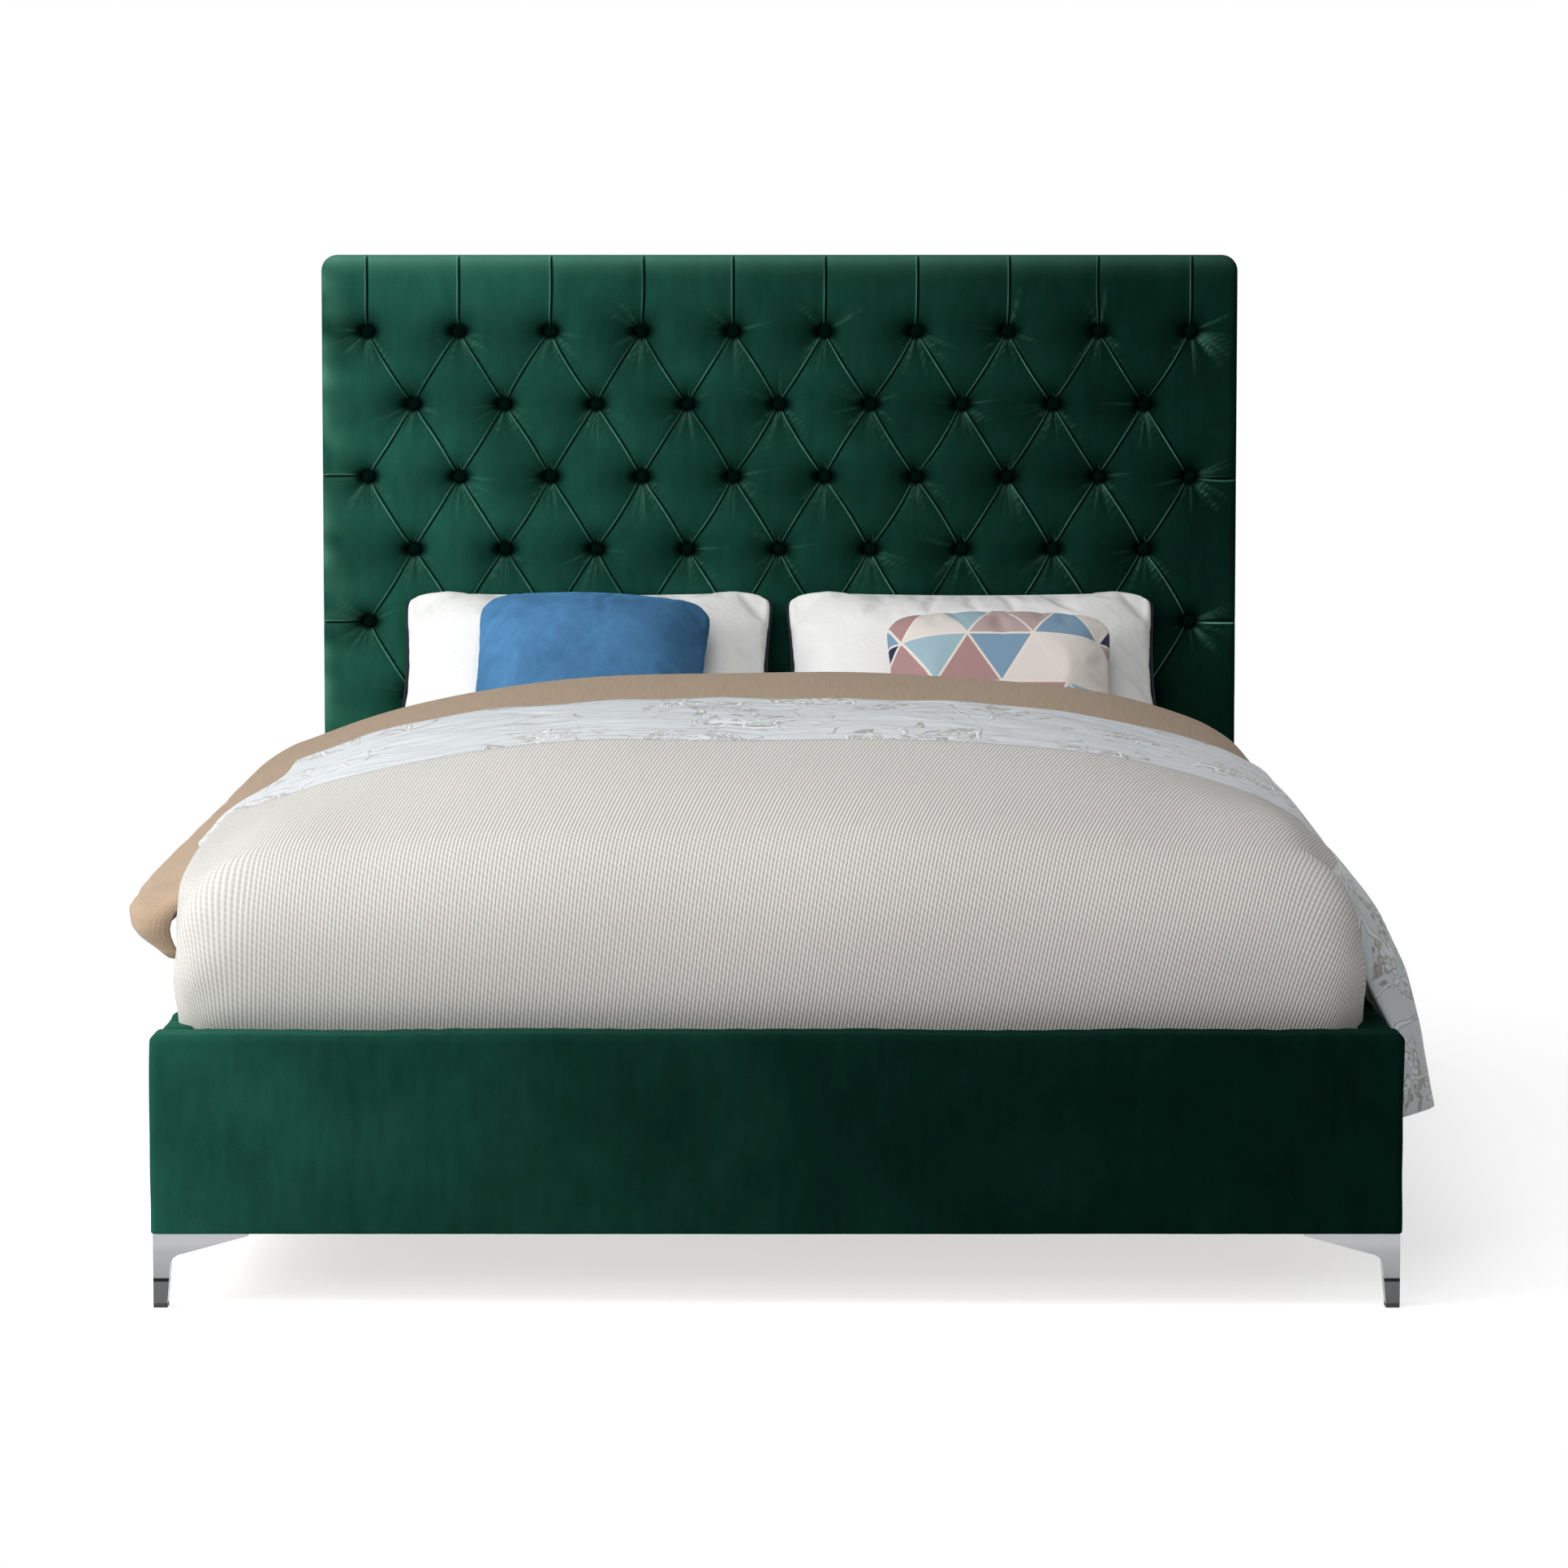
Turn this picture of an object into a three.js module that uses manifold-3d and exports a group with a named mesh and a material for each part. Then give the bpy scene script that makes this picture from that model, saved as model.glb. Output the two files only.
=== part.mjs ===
// Upholstered bed with a deep-buttoned headboard, dressed with its mattress and bedding.
// Millimetres, +Z up, foot at -Y, headboard at +Y, origin on the floor in the middle.

import * as THREE from 'three';
import { mergeVertices } from 'three/addons/utils/BufferGeometryUtils.js';
import { RoundedBoxGeometry } from 'three/addons/geometries/RoundedBoxGeometry.js';
import Module from 'manifold-3d';

const wasm = await Module();
wasm.setup();

// ---- Driving dimensions --------------------------------------------------------

const GAP = 0.3; // between pieces that touch
const OVERCUT = 1; // a cut runs this far past the face that it opens

const MATTRESS_WIDTH = 1524; // queen
const MATTRESS_LENGTH = 2032;
const MATTRESS_THICKNESS = 240;
const MATTRESS_CORNER = 40;
const SIDE_ROOM = 34; // mattress to side rail
const FOOT_ROOM = 28; // mattress to footboard
const HEAD_ROOM = 5; // mattress to headboard

const LEG_HEIGHT = 102;
const PANEL_HEIGHT = 272; // velvet footboard and side rails
const FOOTBOARD_THICKNESS = 65;
const RAIL_THICKNESS = 50;
const RAIL_INSET = 4; // rail face behind the footboard's end
const PADDING = 8; // velvet over wadding
const PANEL_CORNER = 10;

const HEADBOARD_HEIGHT = 1460;
const HEADBOARD_CORNER = 30;
const TOP_FOAM = 38; // soft foam under the velvet, at a diamond's crown
const BASE_FOAM = 30;
const BOARD_THICKNESS = 24;
const TURNED_EDGE = 3; // velvet stapled to the back of the board
const TURNED_WIDTH = 45;
const BACK_CLOTH = 1.5;
const BACK_CLOTH_INSET = 15; // from the headboard's outline
const PAD_ABOVE_RAIL = 26; // foam starts this far above the rails
const EDGE_ROLL = 18;
const ROLL_LINE = 0.3; // the roll's own facet line, as a share of it

const BUTTONS_ACROSS = 10;
const BUTTON_ROWS = 6;
const FIRST_ROW_DROP = 142; // top edge to first row
const ROW_SPACING = 135;
const TUFT_DEPTH = 33; // crown to button seat
const PLEAT_DEPTH = 13;
const PLEAT_HALF_WIDTH = 60;
const BUTTON_RADIUS = 12;
const BUTTON_CROWN = 4;
const BUTTON_SHOULDER = [ 0.7, 0.65 ]; // shares of its radius and of its crown
const TWINE_RADIUS = 1.2;
const TWINE_HOLE = 3;
const BUTTON_STEEPNESS = 1.2; // slope of a button's back against its well's
const COLUMNS_PER_BUTTON = 6; // facets of the velvet across one button pitch
const BANDS_PER_ROW = 3; // and from one row to the next

const SLAT_COUNT = 12;
const SLAT_WIDTH = 80;
const SLAT_THICKNESS = 18;
const SLAT_END_ROOM = 2; // to the rails
const SLAT_TOP = 290;
const LEDGE_WIDTH = 30;
const LEDGE_HEIGHT = 40;
const STRAP_WIDTH = 30;
const STRAP_THICKNESS = 1.5;
const STRAP_OFFSET = 400; // from the middle of the bed
const BEAM_WIDTH = 40;
const BEAM_HEIGHT = 60;
const BEAM_WALL = 2;
const SHOE_WALL = 3;
const SHOE_DEPTH = 50;
const SHOE_HEIGHT = 45;
const CENTRE_LEG_TUBE = 32;
const CENTRE_LEG_SPREAD = 620; // each leg from the middle of the bed
const CENTRE_PLATE = 4;
const CENTRE_PLATE_LIP = 16; // plate past the leg's tube
const GLIDE_RADIUS = 20;
const GLIDE_HEIGHT = 12;
const GLIDE_SHARES = { sole: 0.9, edge: 0.25, top: 0.7 }; // of its radius and of its height
const GLIDE_STEM = 5;
const GLIDE_STEM_LENGTH = 32;
const BORE_ROOM = 2; // a stem's bore runs this far past it

const BRACKET_LEG = 55;
const BRACKET_WALL = 4;
const BRACKET_HEIGHT = 110;
const BRACKET_BOTTOM = 125;
const BRACKET_HOLE = 4;
const BRACKET_HOLE_SHARE = 0.6; // hole from the corner, as a share of the leg
const BRACKET_HOLE_LEVELS = [ 0.25, 0.75 ]; // holes up the bracket, as shares of its height

const LEG_WING = 130; // length of a chrome leg's wing
const LEG_WING_DEPTH = 27;
const LEG_WALL = 5;
const LEG_PLATE = 3;
const LEG_COLUMN_TOP = 23;
const LEG_COLUMN_FOOT = 19;
const LEG_FILLET = 20;
const FILLET_SWEEP = 0.4; // how far the fillet follows the wing's slope
const LEG_INSET = 4;
const LEG_SCREW = 2.5;
const LEG_WEB_SHARE = 0.55; // how far along its wings the screw plate's web reaches
const LEG_SCREW_SHARES = [ [ 0.75, 0.75 ], [ 1, 0.4 ], [ 0.4, 1 ] ]; // screws, as shares of the web
const PAD_HEIGHT = 6;

const DUVET_OVERHANG = 25; // past the rails
const DUVET_CROWN = 200; // above the mattress
const CROWN_POWER = 3; // how square the made bed's cross-section is
const SHOULDER_FALL = 0.8; // share of the crown lost at the sides
const FOOT_FALL = 0.68; // share of the crown lost at the foot
const DUVET_HEM = 11; // above the rails
const DUVET_CORNER = 200;
const DUVET_FRONT_ROOM = 4; // duvet's outline before the mattress
const DUVET_HEAD_ROOM = 520; // headboard to duvet
const THROW_THICKNESS = 3;
const THROW_HEM = 86; // above the rails
const THROW_END = 110; // footboard to the throw's near hem
const QUILT_THICKNESS = 8;
const QUILT_HEM = 200; // above the floor, on the right
const QUILT_END = 170; // footboard to the quilt's near hem
const QUILT_LENGTH = 980;
const QUILT_LEFT_HEM = 50; // quilt's left hem inside the rails' outer faces
const SPREAD_THICKNESS = 4;
const SPREAD_LENGTH = 600;
const SPREAD_TUCK = 34; // below the top of the footboard
const SPREAD_SIDE_ROOM = 6;

const PILLOW_WIDTH = 690;
const PILLOW_HEIGHT = 410;
const PILLOW_THICKNESS = 150;
const PILLOW_TILT = 48; // degrees from lying flat
const PILLOW_PAIR_GAP = 16;
const PILLOW_ROOM = 2; // to the headboard's crowns
const CUSHION_THICKNESS = 110;
const CUSHION_GAP = 5;
const BLUE_CUSHION = { width: 430, height: 400, aside: 13 }; // aside: from its pillow's middle
const PATTERN_CUSHION = { width: 415, height: 360, aside: 42 };
const SEAM_CURVE = 2.5; // how evenly a cushion is filled
const SIDE_PULL = 0.05; // how far its sides draw in

// ---- Worked out from them ------------------------------------------------------

const railOuter = MATTRESS_WIDTH / 2 + SIDE_ROOM + RAIL_THICKNESS;
const railInner = railOuter - RAIL_THICKNESS;
const BED_WIDTH = 2 * (railOuter + RAIL_INSET);
const railTop = LEG_HEIGHT + PANEL_HEIGHT;
const headboardThickness =
	TOP_FOAM + BASE_FOAM + BOARD_THICKNESS + TURNED_EDGE + BACK_CLOTH + 4 * GAP;
const innerLength = FOOT_ROOM + MATTRESS_LENGTH + HEAD_ROOM;
const bedLength = FOOTBOARD_THICKNESS + innerLength + headboardThickness;

const footFace = - bedLength / 2;
const footInner = footFace + FOOTBOARD_THICKNESS;
const headFace = footInner + innerLength;
const foamFront = headFace + TOP_FOAM + GAP;
const boardFront = foamFront + BASE_FOAM + GAP;
const boardBack = boardFront + BOARD_THICKNESS;
const coverBack = boardBack + GAP + TURNED_EDGE;
const headBack = coverBack + GAP + BACK_CLOTH;
const plainFace = boardFront - GAP - PADDING; // velvet without foam, below the pad
const padBottom = railTop + PAD_ABOVE_RAIL;

const mattressBottom = SLAT_TOP + GAP;
const mattressTop = mattressBottom + MATTRESS_THICKNESS;
const mattressFoot = footInner + FOOT_ROOM;

const buttonPitch = BED_WIDTH / BUTTONS_ACROSS;
const slatBottom = SLAT_TOP - SLAT_THICKNESS;
const supportTop = slatBottom - GAP;

// ---- Materials -----------------------------------------------------------------

const material = ( color, roughness, metalness = 0 ) =>
	new THREE.MeshStandardMaterial( { color, roughness, metalness } );

const velvet = material( 0x1c4a3b, 0.8 );
const foam = material( 0xe6dfb8, 0.9 );
const board = material( 0xb08d62, 0.7 );
const dustCloth = material( 0x1d1d1f, 0.95 );
const pine = material( 0xd9b98a, 0.6 );
const steel = material( 0x2a2b2d, 0.45, 0.6 );
const chrome = material( 0xd0d0d2, 0.12, 1 );
const padPlastic = material( 0x161616, 0.6 );
const webbing = material( 0x3a3a3c, 0.9 );
const ticking = material( 0xf2f0ec, 0.85 );
const duvetCotton = material( 0xf4f4f2, 0.85 );
const throwCloth = material( 0xc0a98f, 0.85 );
const quiltCloth = material( 0xe4e8ea, 0.8 );
const ribbedCloth = material( 0xdedbd2, 0.9 );
const pillowCotton = material( 0xf5f6f7, 0.8 );
const blueVelvet = material( 0x3f77ad, 0.8 );
const patternCloth = material( 0x9db9c4, 0.8 );

// ---- Helpers -------------------------------------------------------------------

const bed = new THREE.Group();
bed.name = 'upholstered_bed';

function add( name, geometry, finish ) {

	const mesh = new THREE.Mesh( geometry, finish );
	mesh.name = name;
	bed.add( mesh );
	return mesh;

}

function toSolid( geometry ) {

	const bare = geometry.clone();
	bare.deleteAttribute( 'normal' );
	bare.deleteAttribute( 'uv' );
	const merged = mergeVertices( bare, 1e-3 );
	return new wasm.Manifold( new wasm.Mesh( {
		numProp: 3,
		vertProperties: Float32Array.from( merged.attributes.position.array ),
		triVerts: Uint32Array.from( merged.index.array ),
	} ) );

}

function toGeometry( solid ) {

	const mesh = solid.getMesh();
	const geometry = new THREE.BufferGeometry();
	geometry.setAttribute( 'position', new THREE.BufferAttribute( mesh.vertProperties, 3 ) );
	geometry.setIndex( new THREE.BufferAttribute( mesh.triVerts, 1 ) );
	return geometry;

}

// A box between two corners.
function block( low, high ) {

	const size = high.map( ( value, axis ) => value - low[ axis ] );
	const middle = high.map( ( value, axis ) => ( value + low[ axis ] ) / 2 );
	return new THREE.BoxGeometry( ...size ).translate( ...middle );

}

// A rod along Y from y0 to y1.
function rodAlongY( x, z, radius, y0, y1, sides ) {

	return new THREE.CylinderGeometry( radius, radius, y1 - y0, sides )
		.translate( x, ( y0 + y1 ) / 2, z );

}

// A rod along Z from z0 to z1.
function rodAlongZ( x, y, radius, z0, z1, sides ) {

	return new THREE.CylinderGeometry( radius, radius, z1 - z0, sides )
		.rotateX( Math.PI / 2 )
		.translate( x, y, ( z0 + z1 ) / 2 );

}

// A shape drawn in X and Z, extruded along +Y from y0 to y1.
function extrudeAlongY( shape, y0, y1, options = {} ) {

	return new THREE.ExtrudeGeometry( shape, {
		depth: y1 - y0, bevelEnabled: false, curveSegments: 4, ...options,
	} ).rotateX( Math.PI / 2 ).translate( 0, y1, 0 );

}

function joinAll( solids ) {

	return solids.reduce( ( whole, next ) => whole.add( next ) );

}

// ---- Headboard -----------------------------------------------------------------

// Front view of the headboard with its top corners rounded, drawn inside by an inset.
function headboardOutline( inset, bottom ) {

	const half = BED_WIDTH / 2 - inset;
	const top = HEADBOARD_HEIGHT - inset;
	const radius = Math.max( HEADBOARD_CORNER - inset, 1 );
	const shape = new THREE.Shape();
	shape.moveTo( - half, bottom );
	shape.lineTo( half, bottom );
	shape.lineTo( half, top - radius );
	shape.absarc( half - radius, top - radius, radius, 0, Math.PI / 2 );
	shape.lineTo( - half + radius, top );
	shape.absarc( - half + radius, top - radius, radius, Math.PI / 2, Math.PI );
	shape.closePath();
	return shape;

}

function headboardSlab( inset, bottom, y0, y1 ) {

	return toSolid( extrudeAlongY( headboardOutline( inset, bottom ), y0, y1 ) );

}

// Rows of buttons alternate between a full row and one fewer, half a pitch across.
function buttonRow( row ) {

	const count = BUTTONS_ACROSS - row % 2;
	const z = HEADBOARD_HEIGHT - FIRST_ROW_DROP - row * ROW_SPACING;
	return Array.from( { length: count }, ( _, i ) => ( {
		x: ( i - ( count - 1 ) / 2 ) * buttonPitch, z,
	} ) );

}

const buttonRows = Array.from( { length: BUTTON_ROWS }, ( _, row ) => buttonRow( row ) );
const buttons = buttonRows.flat();

// Pleats run from button to button in diamonds, straight up from the top row, straight down
// from the bottom row, and out to the sides from the end buttons of the full rows.
function pleatLines() {

	const lines = [];
	const lastRow = BUTTON_ROWS - 1;
	buttonRows.forEach( ( row, index ) => {

		const next = buttonRows[ index + 1 ] ?? [];
		for ( const from of row ) {

			for ( const to of next ) {

				const besideIt = Math.abs( to.x - from.x ) < buttonPitch;
				if ( besideIt ) lines.push( [ from, to ] );

			}
			if ( index === 0 ) lines.push( [ from, { x: from.x, z: HEADBOARD_HEIGHT } ] );
			if ( index === lastRow ) lines.push( [ from, { x: from.x, z: padBottom } ] );

		}
		if ( index % 2 === 0 ) {

			for ( const end of [ row[ 0 ], row.at( - 1 ) ] ) {

				lines.push( [ end, { x: Math.sign( end.x ) * BED_WIDTH / 2, z: end.z } ] );

			}

		}

	} );
	return lines;

}

const pleats = pleatLines();

function distanceToLine( x, z, [ a, b ] ) {

	const dx = b.x - a.x;
	const dz = b.z - a.z;
	const along = ( ( x - a.x ) * dx + ( z - a.z ) * dz ) / ( dx * dx + dz * dz );
	const t = THREE.MathUtils.clamp( along, 0, 1 );
	return Math.hypot( x - a.x - t * dx, z - a.z - t * dz );

}

// How far the velvet lies behind a diamond's crown: a sharp-bottomed valley along each
// pleat, a deeper well at each button, and the rolled outer edge.
function tuftDepth( x, z ) {

	const valley = ( distance ) => Math.max( 1 - distance / PLEAT_HALF_WIDTH, 0 ) ** 2;
	const toPleat = Math.min( ...pleats.map( ( line ) => distanceToLine( x, z, line ) ) );
	const toButton = Math.min( ...buttons.map( ( b ) => Math.hypot( x - b.x, z - b.z ) ) );
	const tuft = Math.max( PLEAT_DEPTH * valley( toPleat ), TUFT_DEPTH * valley( toButton ) );
	const fromEdge = Math.min( BED_WIDTH / 2 - Math.abs( x ), HEADBOARD_HEIGHT - z );
	const inRoll = Math.max( EDGE_ROLL - fromEdge, 0 );
	const roll = EDGE_ROLL - Math.sqrt( EDGE_ROLL ** 2 - inRoll ** 2 );
	return Math.min( Math.max( tuft, roll ), TUFT_DEPTH );

}

// Evenly spaced values from low to high, both of them included.
function spread( low, high, steps ) {

	return Array.from( { length: steps + 1 }, ( _, i ) => low + ( high - low ) * i / steps );

}

// A slab whose front follows tuftDepth on a grid that has a line through every button.
function tuftedSlab( back ) {

	const half = BED_WIDTH / 2;
	const innerXs = spread( - half, half, BUTTONS_ACROSS * COLUMNS_PER_BUTTON ).slice( 1, - 1 );
	const rollLines = [ 0, EDGE_ROLL * ROLL_LINE ];
	const xs = [ ...rollLines.map( ( e ) => - half + e ), ...innerXs,
		...rollLines.map( ( e ) => half - e ).reverse() ];
	const topRow = buttonRows[ 0 ][ 0 ].z;
	const lastRow = buttonRows.at( - 1 )[ 0 ].z;
	const zs = [
		...spread( padBottom, lastRow, BANDS_PER_ROW ).slice( 0, - 1 ),
		...spread( lastRow, topRow, ( BUTTON_ROWS - 1 ) * BANDS_PER_ROW ).slice( 0, - 1 ),
		...spread( topRow, HEADBOARD_HEIGHT - EDGE_ROLL, BANDS_PER_ROW ),
		...rollLines.map( ( e ) => HEADBOARD_HEIGHT - e ).reverse(),
	];

	const points = [];
	for ( const z of zs ) {

		for ( const x of xs ) points.push( x, headFace + tuftDepth( x, z ), z );

	}
	const at = ( i, j ) => j * xs.length + i;
	const faces = [];
	for ( let j = 0; j < zs.length - 1; j ++ ) {

		for ( let i = 0; i < xs.length - 1; i ++ ) {

			const [ a, b, c, d ] = [ at( i, j ), at( i + 1, j ), at( i + 1, j + 1 ), at( i, j + 1 ) ];
			const depth = ( k ) => points[ 3 * k + 1 ];
			// The diagonal follows whichever pair of corners lies deeper, so it runs along a pleat.
			if ( depth( a ) + depth( c ) > depth( b ) + depth( d ) ) faces.push( a, b, c, a, c, d );
			else faces.push( a, b, d, b, c, d );

		}

	}

	// Sides go straight back from the rim, and a fan closes the flat back.
	const rim = [];
	for ( let i = 0; i < xs.length - 1; i ++ ) rim.push( at( i, 0 ) );
	for ( let j = 0; j < zs.length - 1; j ++ ) rim.push( at( xs.length - 1, j ) );
	for ( let i = xs.length - 1; i > 0; i -- ) rim.push( at( i, zs.length - 1 ) );
	for ( let j = zs.length - 1; j > 0; j -- ) rim.push( at( 0, j ) );
	const firstBack = points.length / 3;
	for ( const k of rim ) points.push( points[ 3 * k ], back, points[ 3 * k + 2 ] );
	const centre = points.length / 3;
	points.push( 0, back, ( padBottom + HEADBOARD_HEIGHT ) / 2 );
	rim.forEach( ( k, n ) => {

		const next = ( n + 1 ) % rim.length;
		faces.push( k, firstBack + n, rim[ next ], rim[ next ], firstBack + n, firstBack + next );
		faces.push( firstBack + next, firstBack + n, centre );

	} );

	const geometry = new THREE.BufferGeometry();
	geometry.setAttribute( 'position', new THREE.Float32BufferAttribute( points, 3 ) );
	geometry.setIndex( faces );
	return toSolid( geometry );

}

function buildHeadboard() {

	const boardInset = PADDING + GAP;
	const twineHoles = joinAll( buttons.map( ( b ) =>
		toSolid( rodAlongY( b.x, b.z, TWINE_HOLE, headFace, headBack, 4 ) ) ) );

	// The cover is a tray: tufted front, plain lower front, sides, and an edge turned in behind.
	const lowerFront = toSolid( block(
		[ - BED_WIDTH / 2, plainFace, LEG_HEIGHT ], [ BED_WIDTH / 2, coverBack, padBottom ] ) );
	const outline = headboardSlab( 0, LEG_HEIGHT, headFace - OVERCUT, coverBack );
	const foamPocket = headboardSlab( PADDING, padBottom + PADDING, foamFront - GAP, boardBack );
	const boardPocket = headboardSlab(
		PADDING, LEG_HEIGHT - OVERCUT, boardFront - GAP, boardBack + GAP );
	const backWindow = headboardSlab(
		TURNED_WIDTH, LEG_HEIGHT - OVERCUT, boardBack, coverBack + OVERCUT );
	const cover = tuftedSlab( coverBack )
		.add( lowerFront )
		.intersect( outline )
		.subtract( foamPocket )
		.subtract( boardPocket )
		.subtract( backWindow )
		.subtract( twineHoles );
	add( 'headboard_cover', toGeometry( cover ), velvet );

	const foamSlab = headboardSlab(
		boardInset, padBottom + boardInset, foamFront, foamFront + BASE_FOAM );
	add( 'headboard_foam', toGeometry( foamSlab.subtract( twineHoles ) ), foam );

	const panel = headboardSlab( boardInset, LEG_HEIGHT, boardFront, boardBack );
	add( 'headboard_board', toGeometry( panel.subtract( twineHoles ) ), board );

	const clothOutline = headboardOutline( BACK_CLOTH_INSET, LEG_HEIGHT );
	add( 'headboard_back_cloth',
		extrudeAlongY( clothOutline, coverBack + GAP, headBack ), dustCloth );

	buttonRows.forEach( ( row, index ) => {

		add( `button_row_${ index + 1 }`, buttonRowGeometry( row ), velvet );

	} );

}

// Covered buttons of one row, each on a shank that is tied to the twine behind the board.
function buttonRowGeometry( row ) {

	const seat = headFace + TUFT_DEPTH;
	const step = buttonPitch / COLUMNS_PER_BUTTON;
	const wellSlope = ( TUFT_DEPTH - tuftDepth( row[ 0 ].x + step, row[ 0 ].z ) ) / step;
	// The button's back is a cone a little steeper than the well, so it clears the velvet.
	const coneAt = ( radius ) => seat - radius * wellSlope * BUTTON_STEEPNESS - GAP;
	const rim = coneAt( BUTTON_RADIUS );
	const neck = coneAt( TWINE_RADIUS );
	const twineY = boardBack + GAP + TWINE_RADIUS;
	const profile = [
		[ 0, rim - BUTTON_CROWN ],
		[ BUTTON_RADIUS * BUTTON_SHOULDER[ 0 ], rim - BUTTON_CROWN * BUTTON_SHOULDER[ 1 ] ],
		[ BUTTON_RADIUS, rim ],
		[ TWINE_RADIUS, neck ],
		[ 0, neck ],
	].map( ( [ radius, y ] ) => new THREE.Vector2( radius, y ) );
	const parts = row.map( ( { x, z } ) => {

		const button = new THREE.LatheGeometry( profile, 8 ).translate( x, 0, z );
		const shank = rodAlongY( x, z, TWINE_RADIUS, rim, twineY, 4 );
		return toSolid( button ).add( toSolid( shank ) );

	} );
	const first = row[ 0 ].x - TWINE_HOLE;
	const last = row.at( - 1 ).x + TWINE_HOLE;
	const twine = new THREE.CylinderGeometry( TWINE_RADIUS, TWINE_RADIUS, last - first, 6 )
		.rotateZ( Math.PI / 2 )
		.translate( ( first + last ) / 2, twineY, row[ 0 ].z );
	return toGeometry( joinAll( parts ).add( toSolid( twine ) ) );

}

// ---- Footboard and side rails --------------------------------------------------

// A velvet-covered panel along X: a wooden core, and a soft-edged cover open underneath.
// The cover's faces lie at y = 0 and y = thickness, and its bottom at z = 0.
function paddedPanel( length, thickness ) {

	const roll = PADDING;
	const half = length / 2 - roll;
	const rounded = PANEL_CORNER - roll;
	const outline = new THREE.Shape();
	outline.moveTo( - half, roll + rounded );
	outline.absarc( - half + rounded, roll + rounded, rounded, Math.PI, 1.5 * Math.PI );
	outline.absarc( half - rounded, roll + rounded, rounded, 1.5 * Math.PI, 2 * Math.PI );
	outline.absarc( half - rounded, PANEL_HEIGHT - roll - rounded, rounded, 0, Math.PI / 2 );
	outline.absarc( - half + rounded, PANEL_HEIGHT - roll - rounded, rounded, Math.PI / 2, Math.PI );
	const soft = extrudeAlongY( outline, roll, thickness - roll, {
		bevelEnabled: true, bevelThickness: roll, bevelSize: roll, bevelSegments: 3, curveSegments: 1,
	} );
	const core = block(
		[ - length / 2 + PADDING + GAP, PADDING + GAP, 0 ],
		[ length / 2 - PADDING - GAP, thickness - PADDING - GAP, PANEL_HEIGHT - PADDING - GAP ] );
	const pocket = block(
		[ - length / 2 + PADDING, PADDING, - OVERCUT ],
		[ length / 2 - PADDING, thickness - PADDING, PANEL_HEIGHT - PADDING ] );
	return { core, cover: toGeometry( toSolid( soft ).subtract( toSolid( pocket ) ) ) };

}

function buildPanels() {

	const footboard = paddedPanel( BED_WIDTH, FOOTBOARD_THICKNESS );
	for ( const [ piece, finish ] of [ [ 'core', pine ], [ 'cover', velvet ] ] ) {

		add( `footboard_${ piece }`, footboard[ piece ], finish )
			.position.set( 0, footFace, LEG_HEIGHT );

	}

	const railFront = footInner + GAP;
	const railLength = plainFace - GAP - railFront;
	const rail = paddedPanel( railLength, RAIL_THICKNESS );
	for ( const [ side, turn, x ] of [
		[ 'left', Math.PI / 2, - railInner ], [ 'right', - Math.PI / 2, railInner ] ] ) {

		for ( const [ piece, finish ] of [ [ 'core', pine ], [ 'cover', velvet ] ] ) {

			const mesh = add( `rail_${ piece }_${ side }`, rail[ piece ].clone(), finish );
			mesh.position.set( x, railFront + railLength / 2, LEG_HEIGHT );
			mesh.rotation.z = turn;

		}

	}

}

// Steel angle that joins a rail to the footboard or the headboard, two holes in each leg.
function bracketGeometry() {

	const angle = new THREE.Shape( [
		[ 0, 0 ], [ BRACKET_LEG, 0 ], [ BRACKET_LEG, BRACKET_WALL ], [ BRACKET_WALL, BRACKET_WALL ],
		[ BRACKET_WALL, BRACKET_LEG ], [ 0, BRACKET_LEG ],
	].map( ( [ x, y ] ) => new THREE.Vector2( x, y ) ) );
	let bracket = toSolid( new THREE.ExtrudeGeometry( angle, {
		depth: BRACKET_HEIGHT, bevelEnabled: false } ) );
	const holeAt = BRACKET_LEG * BRACKET_HOLE_SHARE;
	for ( const level of BRACKET_HOLE_LEVELS ) {

		const hole = rodAlongY( holeAt, BRACKET_HEIGHT * level, BRACKET_HOLE,
			- OVERCUT, BRACKET_WALL + OVERCUT, 8 );
		const other = hole.clone().rotateZ( Math.PI / 2 );
		other.translate( BRACKET_WALL, 0, 0 );
		bracket = bracket.subtract( toSolid( hole ) ).subtract( toSolid( other ) );

	}
	return toGeometry( bracket );

}

function buildBrackets() {

	const x = railInner - GAP;
	const geometry = bracketGeometry();
	for ( const [ name, px, py, turn ] of [
		[ 'foot_left', - x, footInner + GAP, 0 ],
		[ 'foot_right', x, footInner + GAP, Math.PI / 2 ],
		[ 'head_right', x, plainFace - GAP, Math.PI ],
		[ 'head_left', - x, plainFace - GAP, - Math.PI / 2 ] ] ) {

		const mesh = add( `bracket_${ name }`, geometry.clone(), steel );
		mesh.position.set( px, py, BRACKET_BOTTOM );
		mesh.rotation.z = turn;

	}

}

// ---- Chrome legs ---------------------------------------------------------------

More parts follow.
